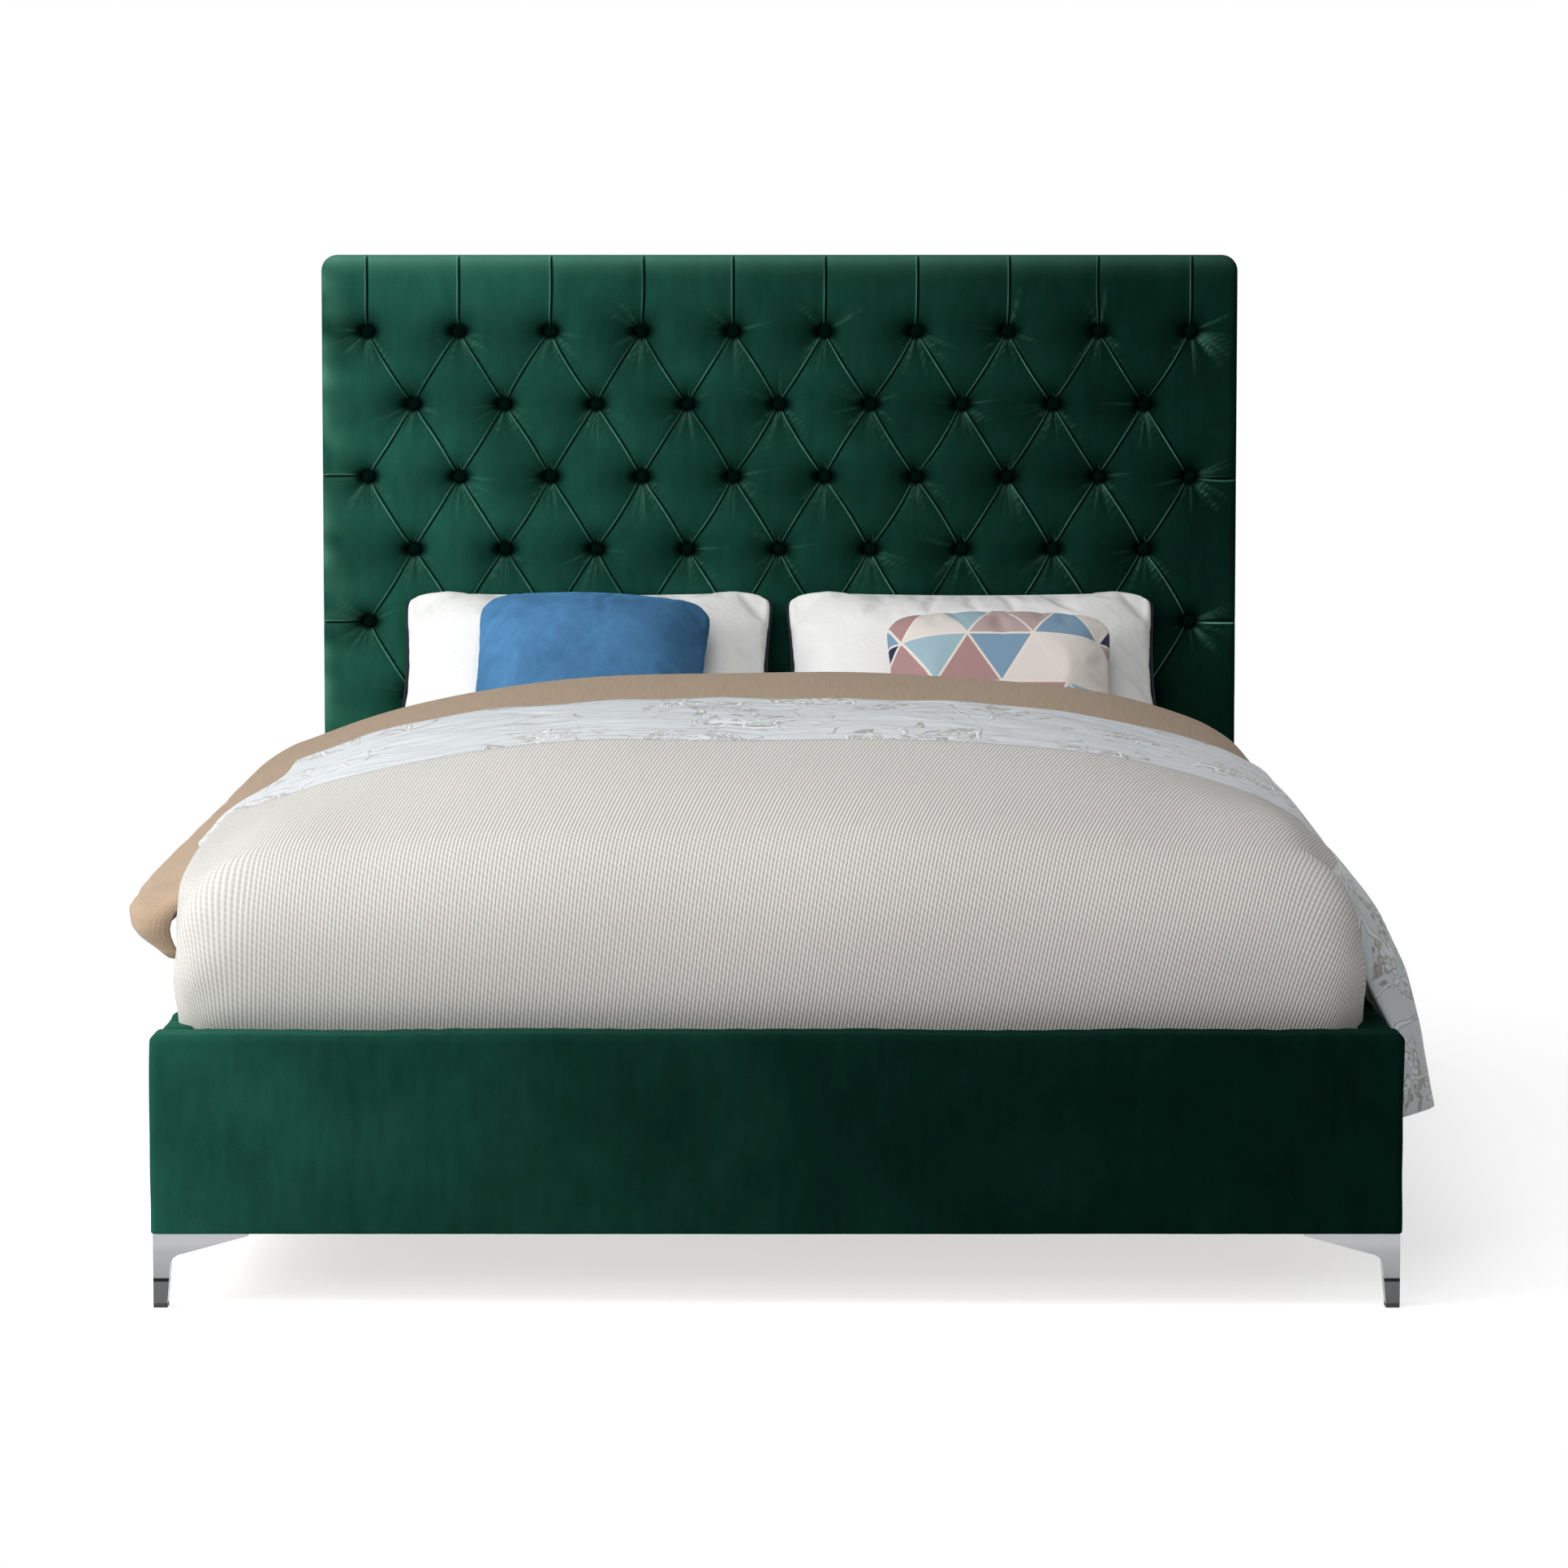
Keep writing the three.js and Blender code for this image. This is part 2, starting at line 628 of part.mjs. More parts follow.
// Side view of one wing with its share of the column; x runs inward from the outer corner
// and z is the height above the leg's lower end.
function wingShape() {

	const height = LEG_HEIGHT - GAP - PAD_HEIGHT;
	const waist = height - LEG_WING_DEPTH - LEG_FILLET;
	const slope = ( LEG_WING_DEPTH - LEG_PLATE ) / ( LEG_WING - LEG_COLUMN_TOP - LEG_FILLET );
	const shape = new THREE.Shape();
	shape.moveTo( 0, 0 );
	shape.lineTo( LEG_COLUMN_FOOT, 0 );
	shape.lineTo( LEG_COLUMN_TOP, waist );
	shape.quadraticCurveTo(
		LEG_COLUMN_TOP, height - LEG_WING_DEPTH - slope * LEG_FILLET * FILLET_SWEEP,
		LEG_COLUMN_TOP + LEG_FILLET, height - LEG_WING_DEPTH );
	shape.lineTo( LEG_WING, height - LEG_PLATE );
	shape.lineTo( LEG_WING, height );
	shape.lineTo( 0, height );
	shape.closePath();
	return shape;

}

// A die-cast corner leg: two wings at right angles, a tapered column and a screw plate.
function legGeometry() {

	const wing = ( depth ) => toSolid( extrudeAlongY( wingShape(), 0, depth ) );
	// Mirrored across the corner's diagonal: X and Y change places, and so do the windings.
	const across = ( solid ) => solid.rotate( [ 0, 0, - 90 ] ).scale( [ 1, - 1, 1 ] );
	const height = LEG_HEIGHT - GAP - PAD_HEIGHT;
	const deep = wing( LEG_COLUMN_TOP );
	const column = deep.intersect( across( deep ) );
	const thin = wing( LEG_WALL );
	const corner = LEG_WING * LEG_WEB_SHARE;
	const plate = new THREE.ExtrudeGeometry( new THREE.Shape( [
		[ 0, 0 ], [ LEG_WING, 0 ], [ LEG_WING, LEG_WALL ], [ corner, corner ],
		[ LEG_WALL, LEG_WING ], [ 0, LEG_WING ],
	].map( ( [ x, y ] ) => new THREE.Vector2( x, y ) ) ), {
		depth: LEG_PLATE, bevelEnabled: false } ).translate( 0, 0, height - LEG_PLATE );
	let leg = column.add( thin ).add( across( thin ) ).add( toSolid( plate ) );
	for ( const [ x, y ] of LEG_SCREW_SHARES ) {

		const screw = rodAlongZ( corner * x, corner * y, LEG_SCREW,
			height - 2 * LEG_PLATE, height + OVERCUT, 8 );
		leg = leg.subtract( toSolid( screw ) );

	}
	return toGeometry( leg );

}

function buildLegs() {

	const x = BED_WIDTH / 2 - LEG_INSET;
	const front = footFace + LEG_INSET;
	const back = headBack - LEG_INSET;
	const leg = legGeometry();
	const padSize = LEG_COLUMN_FOOT;
	for ( const [ name, px, py, quarter ] of [
		[ 'front_left', - x, front, 0 ], [ 'front_right', x, front, 1 ],
		[ 'rear_right', x, back, 2 ], [ 'rear_left', - x, back, 3 ] ] ) {

		const corner = new THREE.Group();
		corner.position.set( px, py, 0 );
		corner.rotation.z = quarter * Math.PI / 2;
		bed.add( corner );
		const legMesh = new THREE.Mesh( leg.clone(), chrome );
		legMesh.name = `chrome_leg_${ name }`;
		legMesh.position.z = PAD_HEIGHT;
		const padMesh = new THREE.Mesh( block( [ 0, 0, 0 ],
			[ padSize, padSize, PAD_HEIGHT - GAP ] ), padPlastic );
		padMesh.name = `leg_pad_${ name }`;
		corner.add( legMesh, padMesh );

	}

}

// ---- Mattress support ----------------------------------------------------------

function buildSupport() {

	const ledgeFoot = footInner + GAP + BRACKET_LEG + GAP;
	const ledgeHead = plainFace - GAP - BRACKET_LEG - GAP;
	const ledgeOuter = railInner - GAP;
	for ( const [ side, sign ] of [ [ 'left', - 1 ], [ 'right', 1 ] ] ) {

		const faces = [ sign * ledgeOuter, sign * ( ledgeOuter - LEDGE_WIDTH ) ];
		add( `slat_ledge_${ side }`, block(
			[ Math.min( ...faces ), ledgeFoot, supportTop - LEDGE_HEIGHT ],
			[ Math.max( ...faces ), ledgeHead, supportTop ] ), pine );

		const strapX = sign * STRAP_OFFSET;
		add( `slat_strap_${ side }`, block(
			[ strapX - STRAP_WIDTH / 2, ledgeFoot, supportTop - STRAP_THICKNESS ],
			[ strapX + STRAP_WIDTH / 2, ledgeHead, supportTop ] ), webbing );

	}

	const slatSpan = ledgeHead - ledgeFoot - SLAT_WIDTH;
	for ( let i = 0; i < SLAT_COUNT; i ++ ) {

		const y = ledgeFoot + slatSpan * i / ( SLAT_COUNT - 1 );
		add( `slat_${ String( i + 1 ).padStart( 2, '0' ) }`, block(
			[ - ledgeOuter + SLAT_END_ROOM, y, slatBottom ],
			[ ledgeOuter - SLAT_END_ROOM, y + SLAT_WIDTH, SLAT_TOP ] ), pine );

	}

	const beamBottom = supportTop - BEAM_HEIGHT;
	const shoeFoot = footInner + GAP;
	const shoeHead = plainFace - GAP;
	const beamLow = [ - BEAM_WIDTH / 2, shoeFoot + SHOE_WALL + GAP, beamBottom ];
	const beamHigh = [ BEAM_WIDTH / 2, shoeHead - SHOE_WALL - GAP, supportTop ];
	const beamBore = block(
		[ beamLow[ 0 ] + BEAM_WALL, beamLow[ 1 ] - OVERCUT, beamLow[ 2 ] + BEAM_WALL ],
		[ beamHigh[ 0 ] - BEAM_WALL, beamHigh[ 1 ] + OVERCUT, beamHigh[ 2 ] - BEAM_WALL ] );
	const beam = toSolid( block( beamLow, beamHigh ) ).subtract( toSolid( beamBore ) );
	add( 'centre_beam', toGeometry( beam ), steel );

	const beamRoom = toSolid( block(
		beamLow.map( ( value ) => value - GAP ),
		[ beamHigh[ 0 ] + GAP, beamHigh[ 1 ] + GAP, supportTop + OVERCUT ] ) );
	const shoeHalf = BEAM_WIDTH / 2 + GAP + SHOE_WALL;
	const shoeBottom = beamBottom - GAP - SHOE_WALL;
	for ( const [ name, y0, y1 ] of [
		[ 'foot', shoeFoot, shoeFoot + SHOE_DEPTH ], [ 'head', shoeHead - SHOE_DEPTH, shoeHead ] ] ) {

		const cup = toSolid( block(
			[ - shoeHalf, y0, shoeBottom ], [ shoeHalf, y1, shoeBottom + SHOE_HEIGHT ] ) );
		add( `beam_shoe_${ name }`, toGeometry( cup.subtract( beamRoom ) ), steel );

	}

	const legTop = beamBottom - GAP;
	const legBottom = GLIDE_HEIGHT + GAP;
	const bore = GLIDE_STEM + GAP;
	const boreTop = GLIDE_HEIGHT + GLIDE_STEM_LENGTH + BORE_ROOM;
	const tube = CENTRE_LEG_TUBE / 2;
	const plate = tube + CENTRE_PLATE_LIP;
	[ [ 'foot', - CENTRE_LEG_SPREAD ], [ 'head', CENTRE_LEG_SPREAD ] ].forEach( ( [ name, y ] ) => {

		const post = toSolid( block( [ - tube, y - tube, legBottom ], [ tube, y + tube, legTop ] ) );
		const top = toSolid( block(
			[ - BEAM_WIDTH / 2, y - plate, legTop - CENTRE_PLATE ],
			[ BEAM_WIDTH / 2, y + plate, legTop ] ) );
		const hole = toSolid( rodAlongZ( 0, y, bore, legBottom - OVERCUT, boreTop, 12 ) );
		add( `centre_leg_${ name }`, toGeometry( post.add( top ).subtract( hole ) ), steel );

		const disc = [
			[ 0, 0 ], [ GLIDE_RADIUS * GLIDE_SHARES.sole, 0 ],
			[ GLIDE_RADIUS, GLIDE_HEIGHT * GLIDE_SHARES.edge ],
			[ GLIDE_RADIUS * GLIDE_SHARES.top, GLIDE_HEIGHT ], [ GLIDE_STEM, GLIDE_HEIGHT ],
			[ GLIDE_STEM, GLIDE_HEIGHT + GLIDE_STEM_LENGTH ], [ 0, GLIDE_HEIGHT + GLIDE_STEM_LENGTH ],
		].map( ( [ radius, z ] ) => new THREE.Vector2( radius, z ) );
		add( `levelling_glide_${ name }`,
			new THREE.LatheGeometry( disc, 16 ).rotateX( Math.PI / 2 ).translate( 0, y, 0 ), padPlastic );

	} );

}

// ---- Mattress and bedding ------------------------------------------------------

const duvetHalf = railOuter + DUVET_OVERHANG;
const duvetFoot = mattressFoot - DUVET_FRONT_ROOM;
const duvetHead = headFace - DUVET_HEAD_ROOM;
const spreadHead = footInner + SPREAD_LENGTH;

// The body of the made bed, grown outward all round: a crown that falls to soft shoulders
// and to the foot, with rounded corners there and straight walls down to the given height.
function beddingBody( grow, bottom ) {

	const half = [ 0.3, 0.6, 0.78, 0.9, 0.97, 1 ];
	const across = [ ...half.map( ( s ) => - s ).reverse(), 0, ...half ];
	const alongFoot = [ 0, 0.01, 0.03, 0.07, 0.13, 0.25, 0.5, 0.75, 1 ];
	const middle = footInner + QUILT_END + QUILT_LENGTH;
	const span = middle - duvetFoot;
	const rows = alongFoot.map( ( t ) => {

		const fromFoot = t * span;
		const inCorner = Math.max( DUVET_CORNER - fromFoot, 0 );
		const cut = DUVET_CORNER - Math.sqrt( DUVET_CORNER ** 2 - inCorner ** 2 );
		return { y: middle - ( span + grow ) * ( 1 - t ), half: duvetHalf - cut, fall: ( 1 - t ) ** 2 };

	} );
	rows.push( { y: duvetHead + grow, half: duvetHalf, fall: 0 } );

	const points = [];
	for ( const { y, half, fall } of rows ) {

		for ( const s of across ) {

			const crown = ( 1 - SHOULDER_FALL * Math.abs( s ) ** CROWN_POWER )
				* ( 1 - FOOT_FALL * fall );
			points.push( s * ( half + grow ), y, mattressTop + DUVET_CROWN * crown + grow );

		}

	}
	const count = across.length;
	const topPoints = points.length / 3;
	for ( let k = 0; k < topPoints; k ++ ) points.push( points[ 3 * k ], points[ 3 * k + 1 ], bottom );

	const faces = [];
	const quad = ( a, b, c, d ) => faces.push( a, b, c, a, c, d );
	for ( let j = 0; j < rows.length - 1; j ++ ) {

		for ( let i = 0; i < count - 1; i ++ ) {

			const a = j * count + i;
			quad( a, a + 1, a + count + 1, a + count );
			quad( topPoints + a, topPoints + a + count, topPoints + a + count + 1, topPoints + a + 1 );

		}
		const left = j * count;
		quad( left, left + count, topPoints + left + count, topPoints + left );
		const right = left + count - 1;
		quad( right, topPoints + right, topPoints + right + count, right + count );

	}
	for ( let i = 0; i < count - 1; i ++ ) {

		quad( i, topPoints + i, topPoints + i + 1, i + 1 );
		const back = ( rows.length - 1 ) * count + i;
		quad( back, back + 1, topPoints + back + 1, topPoints + back );

	}
	const geometry = new THREE.BufferGeometry();
	geometry.setAttribute( 'position', new THREE.Float32BufferAttribute( points, 3 ) );
	geometry.setIndex( faces );
	return toSolid( geometry );

}

// A cover of the given thickness over a bedding body grown by "under", kept inside a box that
// reaches past the bed wherever a corner leaves a value out.
function coverOver( under, thickness, low, high ) {

	const fill = ( corner, sign ) => corner.map( ( value ) => value ?? sign * bedLength );
	const outer = beddingBody( under + thickness, low[ 2 ] );
	const inner = beddingBody( under, low[ 2 ] - OVERCUT );
	return outer.subtract( inner ).intersect( toSolid( block( fill( low, - 1 ), fill( high, 1 ) ) ) );

}

function buildBedding() {

	const mattressLow = [ - MATTRESS_WIDTH / 2, mattressFoot, mattressBottom ];
	const mattressSize = [ MATTRESS_WIDTH, MATTRESS_LENGTH, MATTRESS_THICKNESS ];
	const mattressHigh = mattressLow.map( ( value, axis ) => value + mattressSize[ axis ] );
	const mattress = new RoundedBoxGeometry( ...mattressSize, 2, MATTRESS_CORNER )
		.translate( 0, ( mattressLow[ 1 ] + mattressHigh[ 1 ] ) / 2, mattressBottom + MATTRESS_THICKNESS / 2 );
	add( 'mattress', toGeometry( toSolid( mattress ) ), ticking );

	const hem = railTop + DUVET_HEM;
	const mattressRoom = toSolid( block(
		[ mattressLow[ 0 ] - GAP, duvetFoot - OVERCUT, mattressBottom ],
		[ mattressHigh[ 0 ] + GAP, duvetHead + OVERCUT, mattressTop + GAP ] ) );
	add( 'duvet', toGeometry( beddingBody( 0, hem ).subtract( mattressRoom ) ), duvetCotton );

	const throwUnder = GAP;
	const throwNear = footInner + THROW_END;
	add( 'throw', toGeometry( coverOver( throwUnder, THROW_THICKNESS,
		[ null, throwNear, railTop + THROW_HEM ], [ null, duvetHead, null ] ) ), throwCloth );

	const quiltUnder = throwUnder + THROW_THICKNESS + GAP;
	const quiltNear = footInner + QUILT_END;
	add( 'quilt', toGeometry( coverOver( quiltUnder, QUILT_THICKNESS,
		[ - railOuter + QUILT_LEFT_HEM, quiltNear, QUILT_HEM ],
		[ null, quiltNear + QUILT_LENGTH, null ] ) ), quiltCloth );

	const spreadUnder = quiltUnder + QUILT_THICKNESS + GAP;
	const spreadHalf = railInner - SPREAD_SIDE_ROOM;
	add( 'bedspread', toGeometry( coverOver( spreadUnder, SPREAD_THICKNESS,
		[ - spreadHalf, null, railTop - SPREAD_TUCK ],
		[ spreadHalf, spreadHead, null ] ) ), ribbedCloth );

}

// A cushion lying in X and Y: crowned on both faces, with its sides pulled in a little.
function cushionGeometry( width, height, thickness ) {

	const columns = 8;
	const rows = 6;
	const points = [];
	const index = new Map();
	const pointAt = ( i, j, face ) => {

		const u = 2 * i / columns - 1;
		const v = 2 * j / rows - 1;
		const onSeam = Math.abs( u ) === 1 || Math.abs( v ) === 1;
		const key = `${ i } ${ j } ${ onSeam ? 0 : face }`;
		if ( ! index.has( key ) ) {

			const plump = Math.sqrt(
				( 1 - Math.abs( u ) ** SEAM_CURVE ) * ( 1 - Math.abs( v ) ** SEAM_CURVE ) );
			index.set( key, points.length / 3 );
			points.push(
				width / 2 * u * ( 1 - SIDE_PULL * ( 1 - v * v ) ),
				height / 2 * v * ( 1 - SIDE_PULL * ( 1 - u * u ) ),
				face * thickness / 2 * plump );

		}
		return index.get( key );

	};
	const faces = [];
	for ( let j = 0; j < rows; j ++ ) {

		for ( let i = 0; i < columns; i ++ ) {

			for ( const face of [ 1, - 1 ] ) {

				const [ a, b, c, d ] = [ [ 0, 0 ], [ 1, 0 ], [ 1, 1 ], [ 0, 1 ] ]
					.map( ( [ di, dj ] ) => pointAt( i + di, j + dj, face ) );
				// The diagonal meets the cushion's nearest corner, so no triangle lies in the seam.
				const corner = ( u, v ) => ( i === u && j === v );
				const falling = corner( 0, 0 ) || corner( columns - 1, rows - 1 );
				const pair = falling
					? [ [ a, b, c ], [ a, c, d ] ]
					: [ [ a, b, d ], [ b, c, d ] ];
				for ( const [ p, q, r ] of pair ) faces.push( ...( face > 0 ? [ p, q, r ] : [ p, r, q ] ) );

			}

		}

	}
	const geometry = new THREE.BufferGeometry();
	geometry.setAttribute( 'position', new THREE.Float32BufferAttribute( points, 3 ) );
	geometry.setIndex( faces );
	return geometry;

}

// A cushion leaning back by the pillows' tilt, resting on the mattress, with its middle at x.
function leaningCushion( size, x ) {

	const geometry = cushionGeometry( size.width, size.height, size.thickness );
	geometry.rotateX( THREE.MathUtils.degToRad( PILLOW_TILT ) );
	geometry.computeBoundingBox();
	return geometry.translate( x, 0, mattressTop + GAP - geometry.boundingBox.min.z );

}

function middleHeight( geometry ) {

	geometry.computeBoundingBox();
	return ( geometry.boundingBox.min.z + geometry.boundingBox.max.z ) / 2;

}

function buildPillows() {

	const tilt = THREE.MathUtils.degToRad( PILLOW_TILT );
	const between = ( PILLOW_THICKNESS + CUSHION_THICKNESS ) / 2 + CUSHION_GAP;
	const pillowX = ( PILLOW_WIDTH + PILLOW_PAIR_GAP ) / 2;
	for ( const [ side, sign, cushionName, cushionSize, finish ] of [
		[ 'left', - 1, 'blue', BLUE_CUSHION, blueVelvet ],
		[ 'right', 1, 'pattern', PATTERN_CUSHION, patternCloth ] ] ) {

		const pillow = leaningCushion(
			{ width: PILLOW_WIDTH, height: PILLOW_HEIGHT, thickness: PILLOW_THICKNESS },
			sign * pillowX );
		const pillowY = headFace - PILLOW_ROOM - pillow.boundingBox.max.y;
		pillow.translate( 0, pillowY, 0 );
		add( `pillow_${ side }`, pillow, pillowCotton );

		// The cushion lies against the pillow's face, slid down its slope onto the mattress.
		const cushion = leaningCushion(
			{ ...cushionSize, thickness: CUSHION_THICKNESS }, sign * pillowX + cushionSize.aside );
		const rise = middleHeight( cushion ) - middleHeight( pillow );
		const slide = ( rise - between * Math.cos( tilt ) ) / Math.sin( tilt );
		cushion.translate( 0, pillowY - between * Math.sin( tilt ) + slide * Math.cos( tilt ), 0 );
		add( `cushion_${ cushionName }`, cushion, finish );

	}

}

buildHeadboard();
buildPanels();
buildBrackets();
buildLegs();
buildSupport();
buildBedding();
buildPillows();

export default bed;
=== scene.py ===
"""Looks of an upholstered bed: deep-buttoned velvet, made-up bedding, chrome legs.

Metres, +Z up, foot at -Y, headboard at +Y, origin on the floor in the middle.
"""

import math
import random
from functools import partial

import bmesh
import bpy
import numpy as np
from bpy.props import FloatProperty, FloatVectorProperty, PointerProperty
from mathutils import Matrix, Vector


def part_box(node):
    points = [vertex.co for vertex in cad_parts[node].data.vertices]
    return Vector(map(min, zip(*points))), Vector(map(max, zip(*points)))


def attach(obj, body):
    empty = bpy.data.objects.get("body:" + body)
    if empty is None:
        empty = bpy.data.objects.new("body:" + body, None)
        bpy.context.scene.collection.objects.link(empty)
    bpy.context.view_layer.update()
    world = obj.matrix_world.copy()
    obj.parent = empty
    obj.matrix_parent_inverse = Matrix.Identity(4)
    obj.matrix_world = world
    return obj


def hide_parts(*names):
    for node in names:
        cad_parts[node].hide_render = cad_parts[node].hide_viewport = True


bl_info = {
    "name": "Upholstered Bed",
    "version": (1, 0, 0),
    "blender": (4, 5, 0),
    "location": "View3D > Sidebar > Bed",
    "description": "Builds the soft parts and finishes of an upholstered bed",
    "category": "Object",
}

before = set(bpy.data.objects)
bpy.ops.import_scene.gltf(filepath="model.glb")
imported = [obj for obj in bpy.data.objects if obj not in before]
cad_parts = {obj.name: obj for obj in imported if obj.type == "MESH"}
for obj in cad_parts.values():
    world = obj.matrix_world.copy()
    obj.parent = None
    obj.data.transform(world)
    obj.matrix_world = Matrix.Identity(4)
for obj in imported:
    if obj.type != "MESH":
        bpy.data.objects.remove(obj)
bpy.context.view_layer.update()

# ---- Places, from the frame ------------------------------------------------------

COVER_LOW, COVER_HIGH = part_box("headboard_cover")
BOARD_LOW, BOARD_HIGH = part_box("headboard_board")
FOAM_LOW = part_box("headboard_foam")[0]
MATTRESS_LOW, MATTRESS_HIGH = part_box("mattress")
DUVET_LOW, DUVET_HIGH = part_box("duvet")
THROW_LOW, THROW_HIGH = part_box("throw")
QUILT_LOW, QUILT_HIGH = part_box("quilt")
SPREAD_LOW, SPREAD_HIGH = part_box("bedspread")
ROW_BOXES = [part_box(f"button_row_{row}") for row in range(1, 7)]
HALF_WIDTH = COVER_HIGH.x
RAIL_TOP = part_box("footboard_cover")[1].z
CORNERS = ("front_left", "front_right", "rear_right", "rear_left")


# ---- Sizes and colours -----------------------------------------------------------


def length(name, default, description):
    """A size in metres that a user may change."""
    return FloatProperty(
        name=name, default=default, description=description, unit="LENGTH", precision=4
    )


def linear(code):
    """Linear red, green and blue of an sRGB hex colour."""
    shares = [int(code[i : i + 2], 16) / 255 for i in (1, 3, 5)]
    return tuple(c / 12.92 if c <= 0.04045 else ((c + 0.055) / 1.055) ** 2.4 for c in shares)


def colour(name, code, description):
    """A colour that a user may change."""
    return FloatVectorProperty(
        name=name, default=linear(code), description=description, subtype="COLOR", min=0, max=1
    )


class BedSizes(bpy.types.PropertyGroup):
    """Sizes of the soft parts."""

    tuft_depth: length("Tuft depth", 0.031, "Crown of a diamond to the button's seat")
    well_reach: length("Well reach", 0.0185, "How fast the well round a button fades")
    pleat_depth: length("Pleat depth", 0.0065, "Crown of a diamond to its pleats")
    pleat_reach: length("Pleat reach", 0.048, "How far a pleat draws the velvet in")
    crease_depth: length("Crease depth", 0.006, "Sharp fold at the bottom of a pleat")
    lip: length("Fold lip", 0.0028, "Rolled lip beside each crease")
    edge_roll: length("Edge roll", 0.018, "Rounding of the headboard's front edge")
    corner: length("Corner", 0.03, "Radius of the headboard's top corners")
    button_radius: length("Button radius", 0.012, "Covered button")
    panel_roll: length("Panel roll", 0.011, "Rounding of the padded panels' edges")
    piping: length("Piping", 0.0045, "Diameter of the pillows' piping")
    duvet_wall: length("Duvet", 0.02, "Thickness of the duvet where it hangs")


class BedColours(bpy.types.PropertyGroup):
    """Colours of the finishes."""

    velvet: colour("Velvet", "#174235", "Headboard, footboard and rails")
    # The nap colour is the sheen's tint and also the colour of the painted highlights on the
    # tufting.
    nap: colour("Nap", "#62a08a", "What the velvet's pile shows at a grazing angle")
    ribbed: colour("Ribbed cover", "#cfcdc8", "Cover over the foot of the bed")
    quilt: colour("Quilt", "#dee3e7", "Embroidered quilt")
    throw: colour("Throw", "#b39b82", "Woven throw")
    cotton: colour("Cotton", "#f6f6f5", "Duvet and pillows")
    ticking: colour("Ticking", "#f1efe9", "Mattress")
    blue: colour("Blue velvet", "#47749c", "Plain scatter cushion")
    piping: colour("Piping", "#22242e", "Pillow piping")
    pine: colour("Pine", "#d9b98a", "Slats, ledges and cores")
    board: colour("Board", "#b08d62", "Headboard panel")
    foam: colour("Foam", "#e6dfb8", "Headboard foam")
    steel: colour("Steel paint", "#26272a", "Brackets, beam and centre legs")
    plastic: colour("Plastic", "#2a2a2c", "Foot pads and glides")
    chrome: colour("Chrome", "#b2b3b5", "Corner legs")
    black_cloth: colour("Dust cloth", "#1d1d1f", "Back of the headboard")


def sizes():
    """The scene's sizes of the bed."""
    return bpy.context.scene.bed_sizes


def colours():
    """The scene's colours of the bed."""
    return bpy.context.scene.bed_colours


# ---- Meshes ----------------------------------------------------------------------


def add_object(name, data):
    """A new object in the scene, at the origin."""
    obj = bpy.data.objects.new(name, data)
    bpy.context.scene.collection.objects.link(obj)
    return obj


def as_object(name, mesh):
    """A smooth object from a bmesh."""
    data = bpy.data.meshes.new(name)
    mesh.to_mesh(data)
    mesh.free()
    data.shade_smooth()
    return add_object(name, data)


def settle(obj, body, finish, slot, *nodes):
    """Gives a finished piece its material, its body and the CAD nodes that it stands for."""
    obj.data.materials.clear()
    obj.data.materials.append(finish)
    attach(obj, body)
    if nodes:
        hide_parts(*nodes)
    return obj


def grid(columns, rows):
    """A flat grid of quads with a UV map, and each vertex's place in it from 0 to 1."""
    mesh = bmesh.new()
    mesh.loops.layers.uv.verify()
    bmesh.ops.create_grid(mesh, x_segments=columns, y_segments=rows, size=0.5, calc_uvs=True)
    places = np.array([v.co[:2] for v in mesh.verts]) + 0.5
    return mesh, places[:, 0], places[:, 1]


def move_vertices(mesh, points):
    """Moves each vertex of a bmesh to its own point."""
    for vertex, point in zip(mesh.verts, points):
        vertex.co = point


def scale_uvs(mesh, width, height):
    """Makes the UV map run in metres."""
    layer = mesh.loops.layers.uv.verify()
    for face in mesh.faces:
        for corner in face.loops:
            u, v = corner[layer].uv
            corner[layer].uv = (u * width, v * height)


def soft_box(low, high, roll, step):
    """A box in small faces with its edges rolled round."""
    mesh = bmesh.new()
    span = high - low
    bmesh.ops.create_cube(mesh, size=1.0)
    bmesh.ops.scale(mesh, vec=span, verts=mesh.verts)
    bmesh.ops.translate(mesh, vec=(high + low) / 2, verts=mesh.verts)
    for axis in range(3):
        along = [
            e
            for e in mesh.edges
            if abs(e.verts[0].co[axis] - e.verts[1].co[axis]) > span[axis] * 0.9
        ]
        cuts = max(round((span[axis] - 2 * roll) / step) - 1, 1)
        bmesh.ops.subdivide_edges(mesh, edges=along, cuts=cuts, use_grid_fill=True)
    sharp = [e for e in mesh.edges if len(e.link_faces) == 2 and e.calc_face_angle() > 1]
    bmesh.ops.bevel(
        mesh,
        geom=sharp,
        offset=roll,
        offset_type="OFFSET",
        segments=5,
        profile=0.5,
        affect="EDGES",
        material=-1,
        clamp_overlap=False,
    )
    bmesh.ops.recalc_face_normals(mesh, faces=mesh.faces)
    return mesh


def tube(name, points, diameter, closed=False):
    """A round cord along the points, such as piping or a mattress's tape."""
    curve = bpy.data.curves.new(name, "CURVE")
    curve.dimensions = "3D"
    curve.bevel_depth = diameter / 2
    curve.bevel_resolution = 2
    curve.use_fill_caps = True
    line = curve.splines.new("POLY")
    line.points.add(len(points) - 1)
    for place, point in zip(line.points, points):
        place.co = (*point, 1.0)
    line.use_cyclic_u = closed
    drawn = add_object(name + "_path", curve)
    bpy.context.view_layer.update()
    data = bpy.data.meshes.new_from_object(drawn)
    bpy.data.objects.remove(drawn)
    data.name = name
    data.shade_smooth()
    return add_object(name, data)


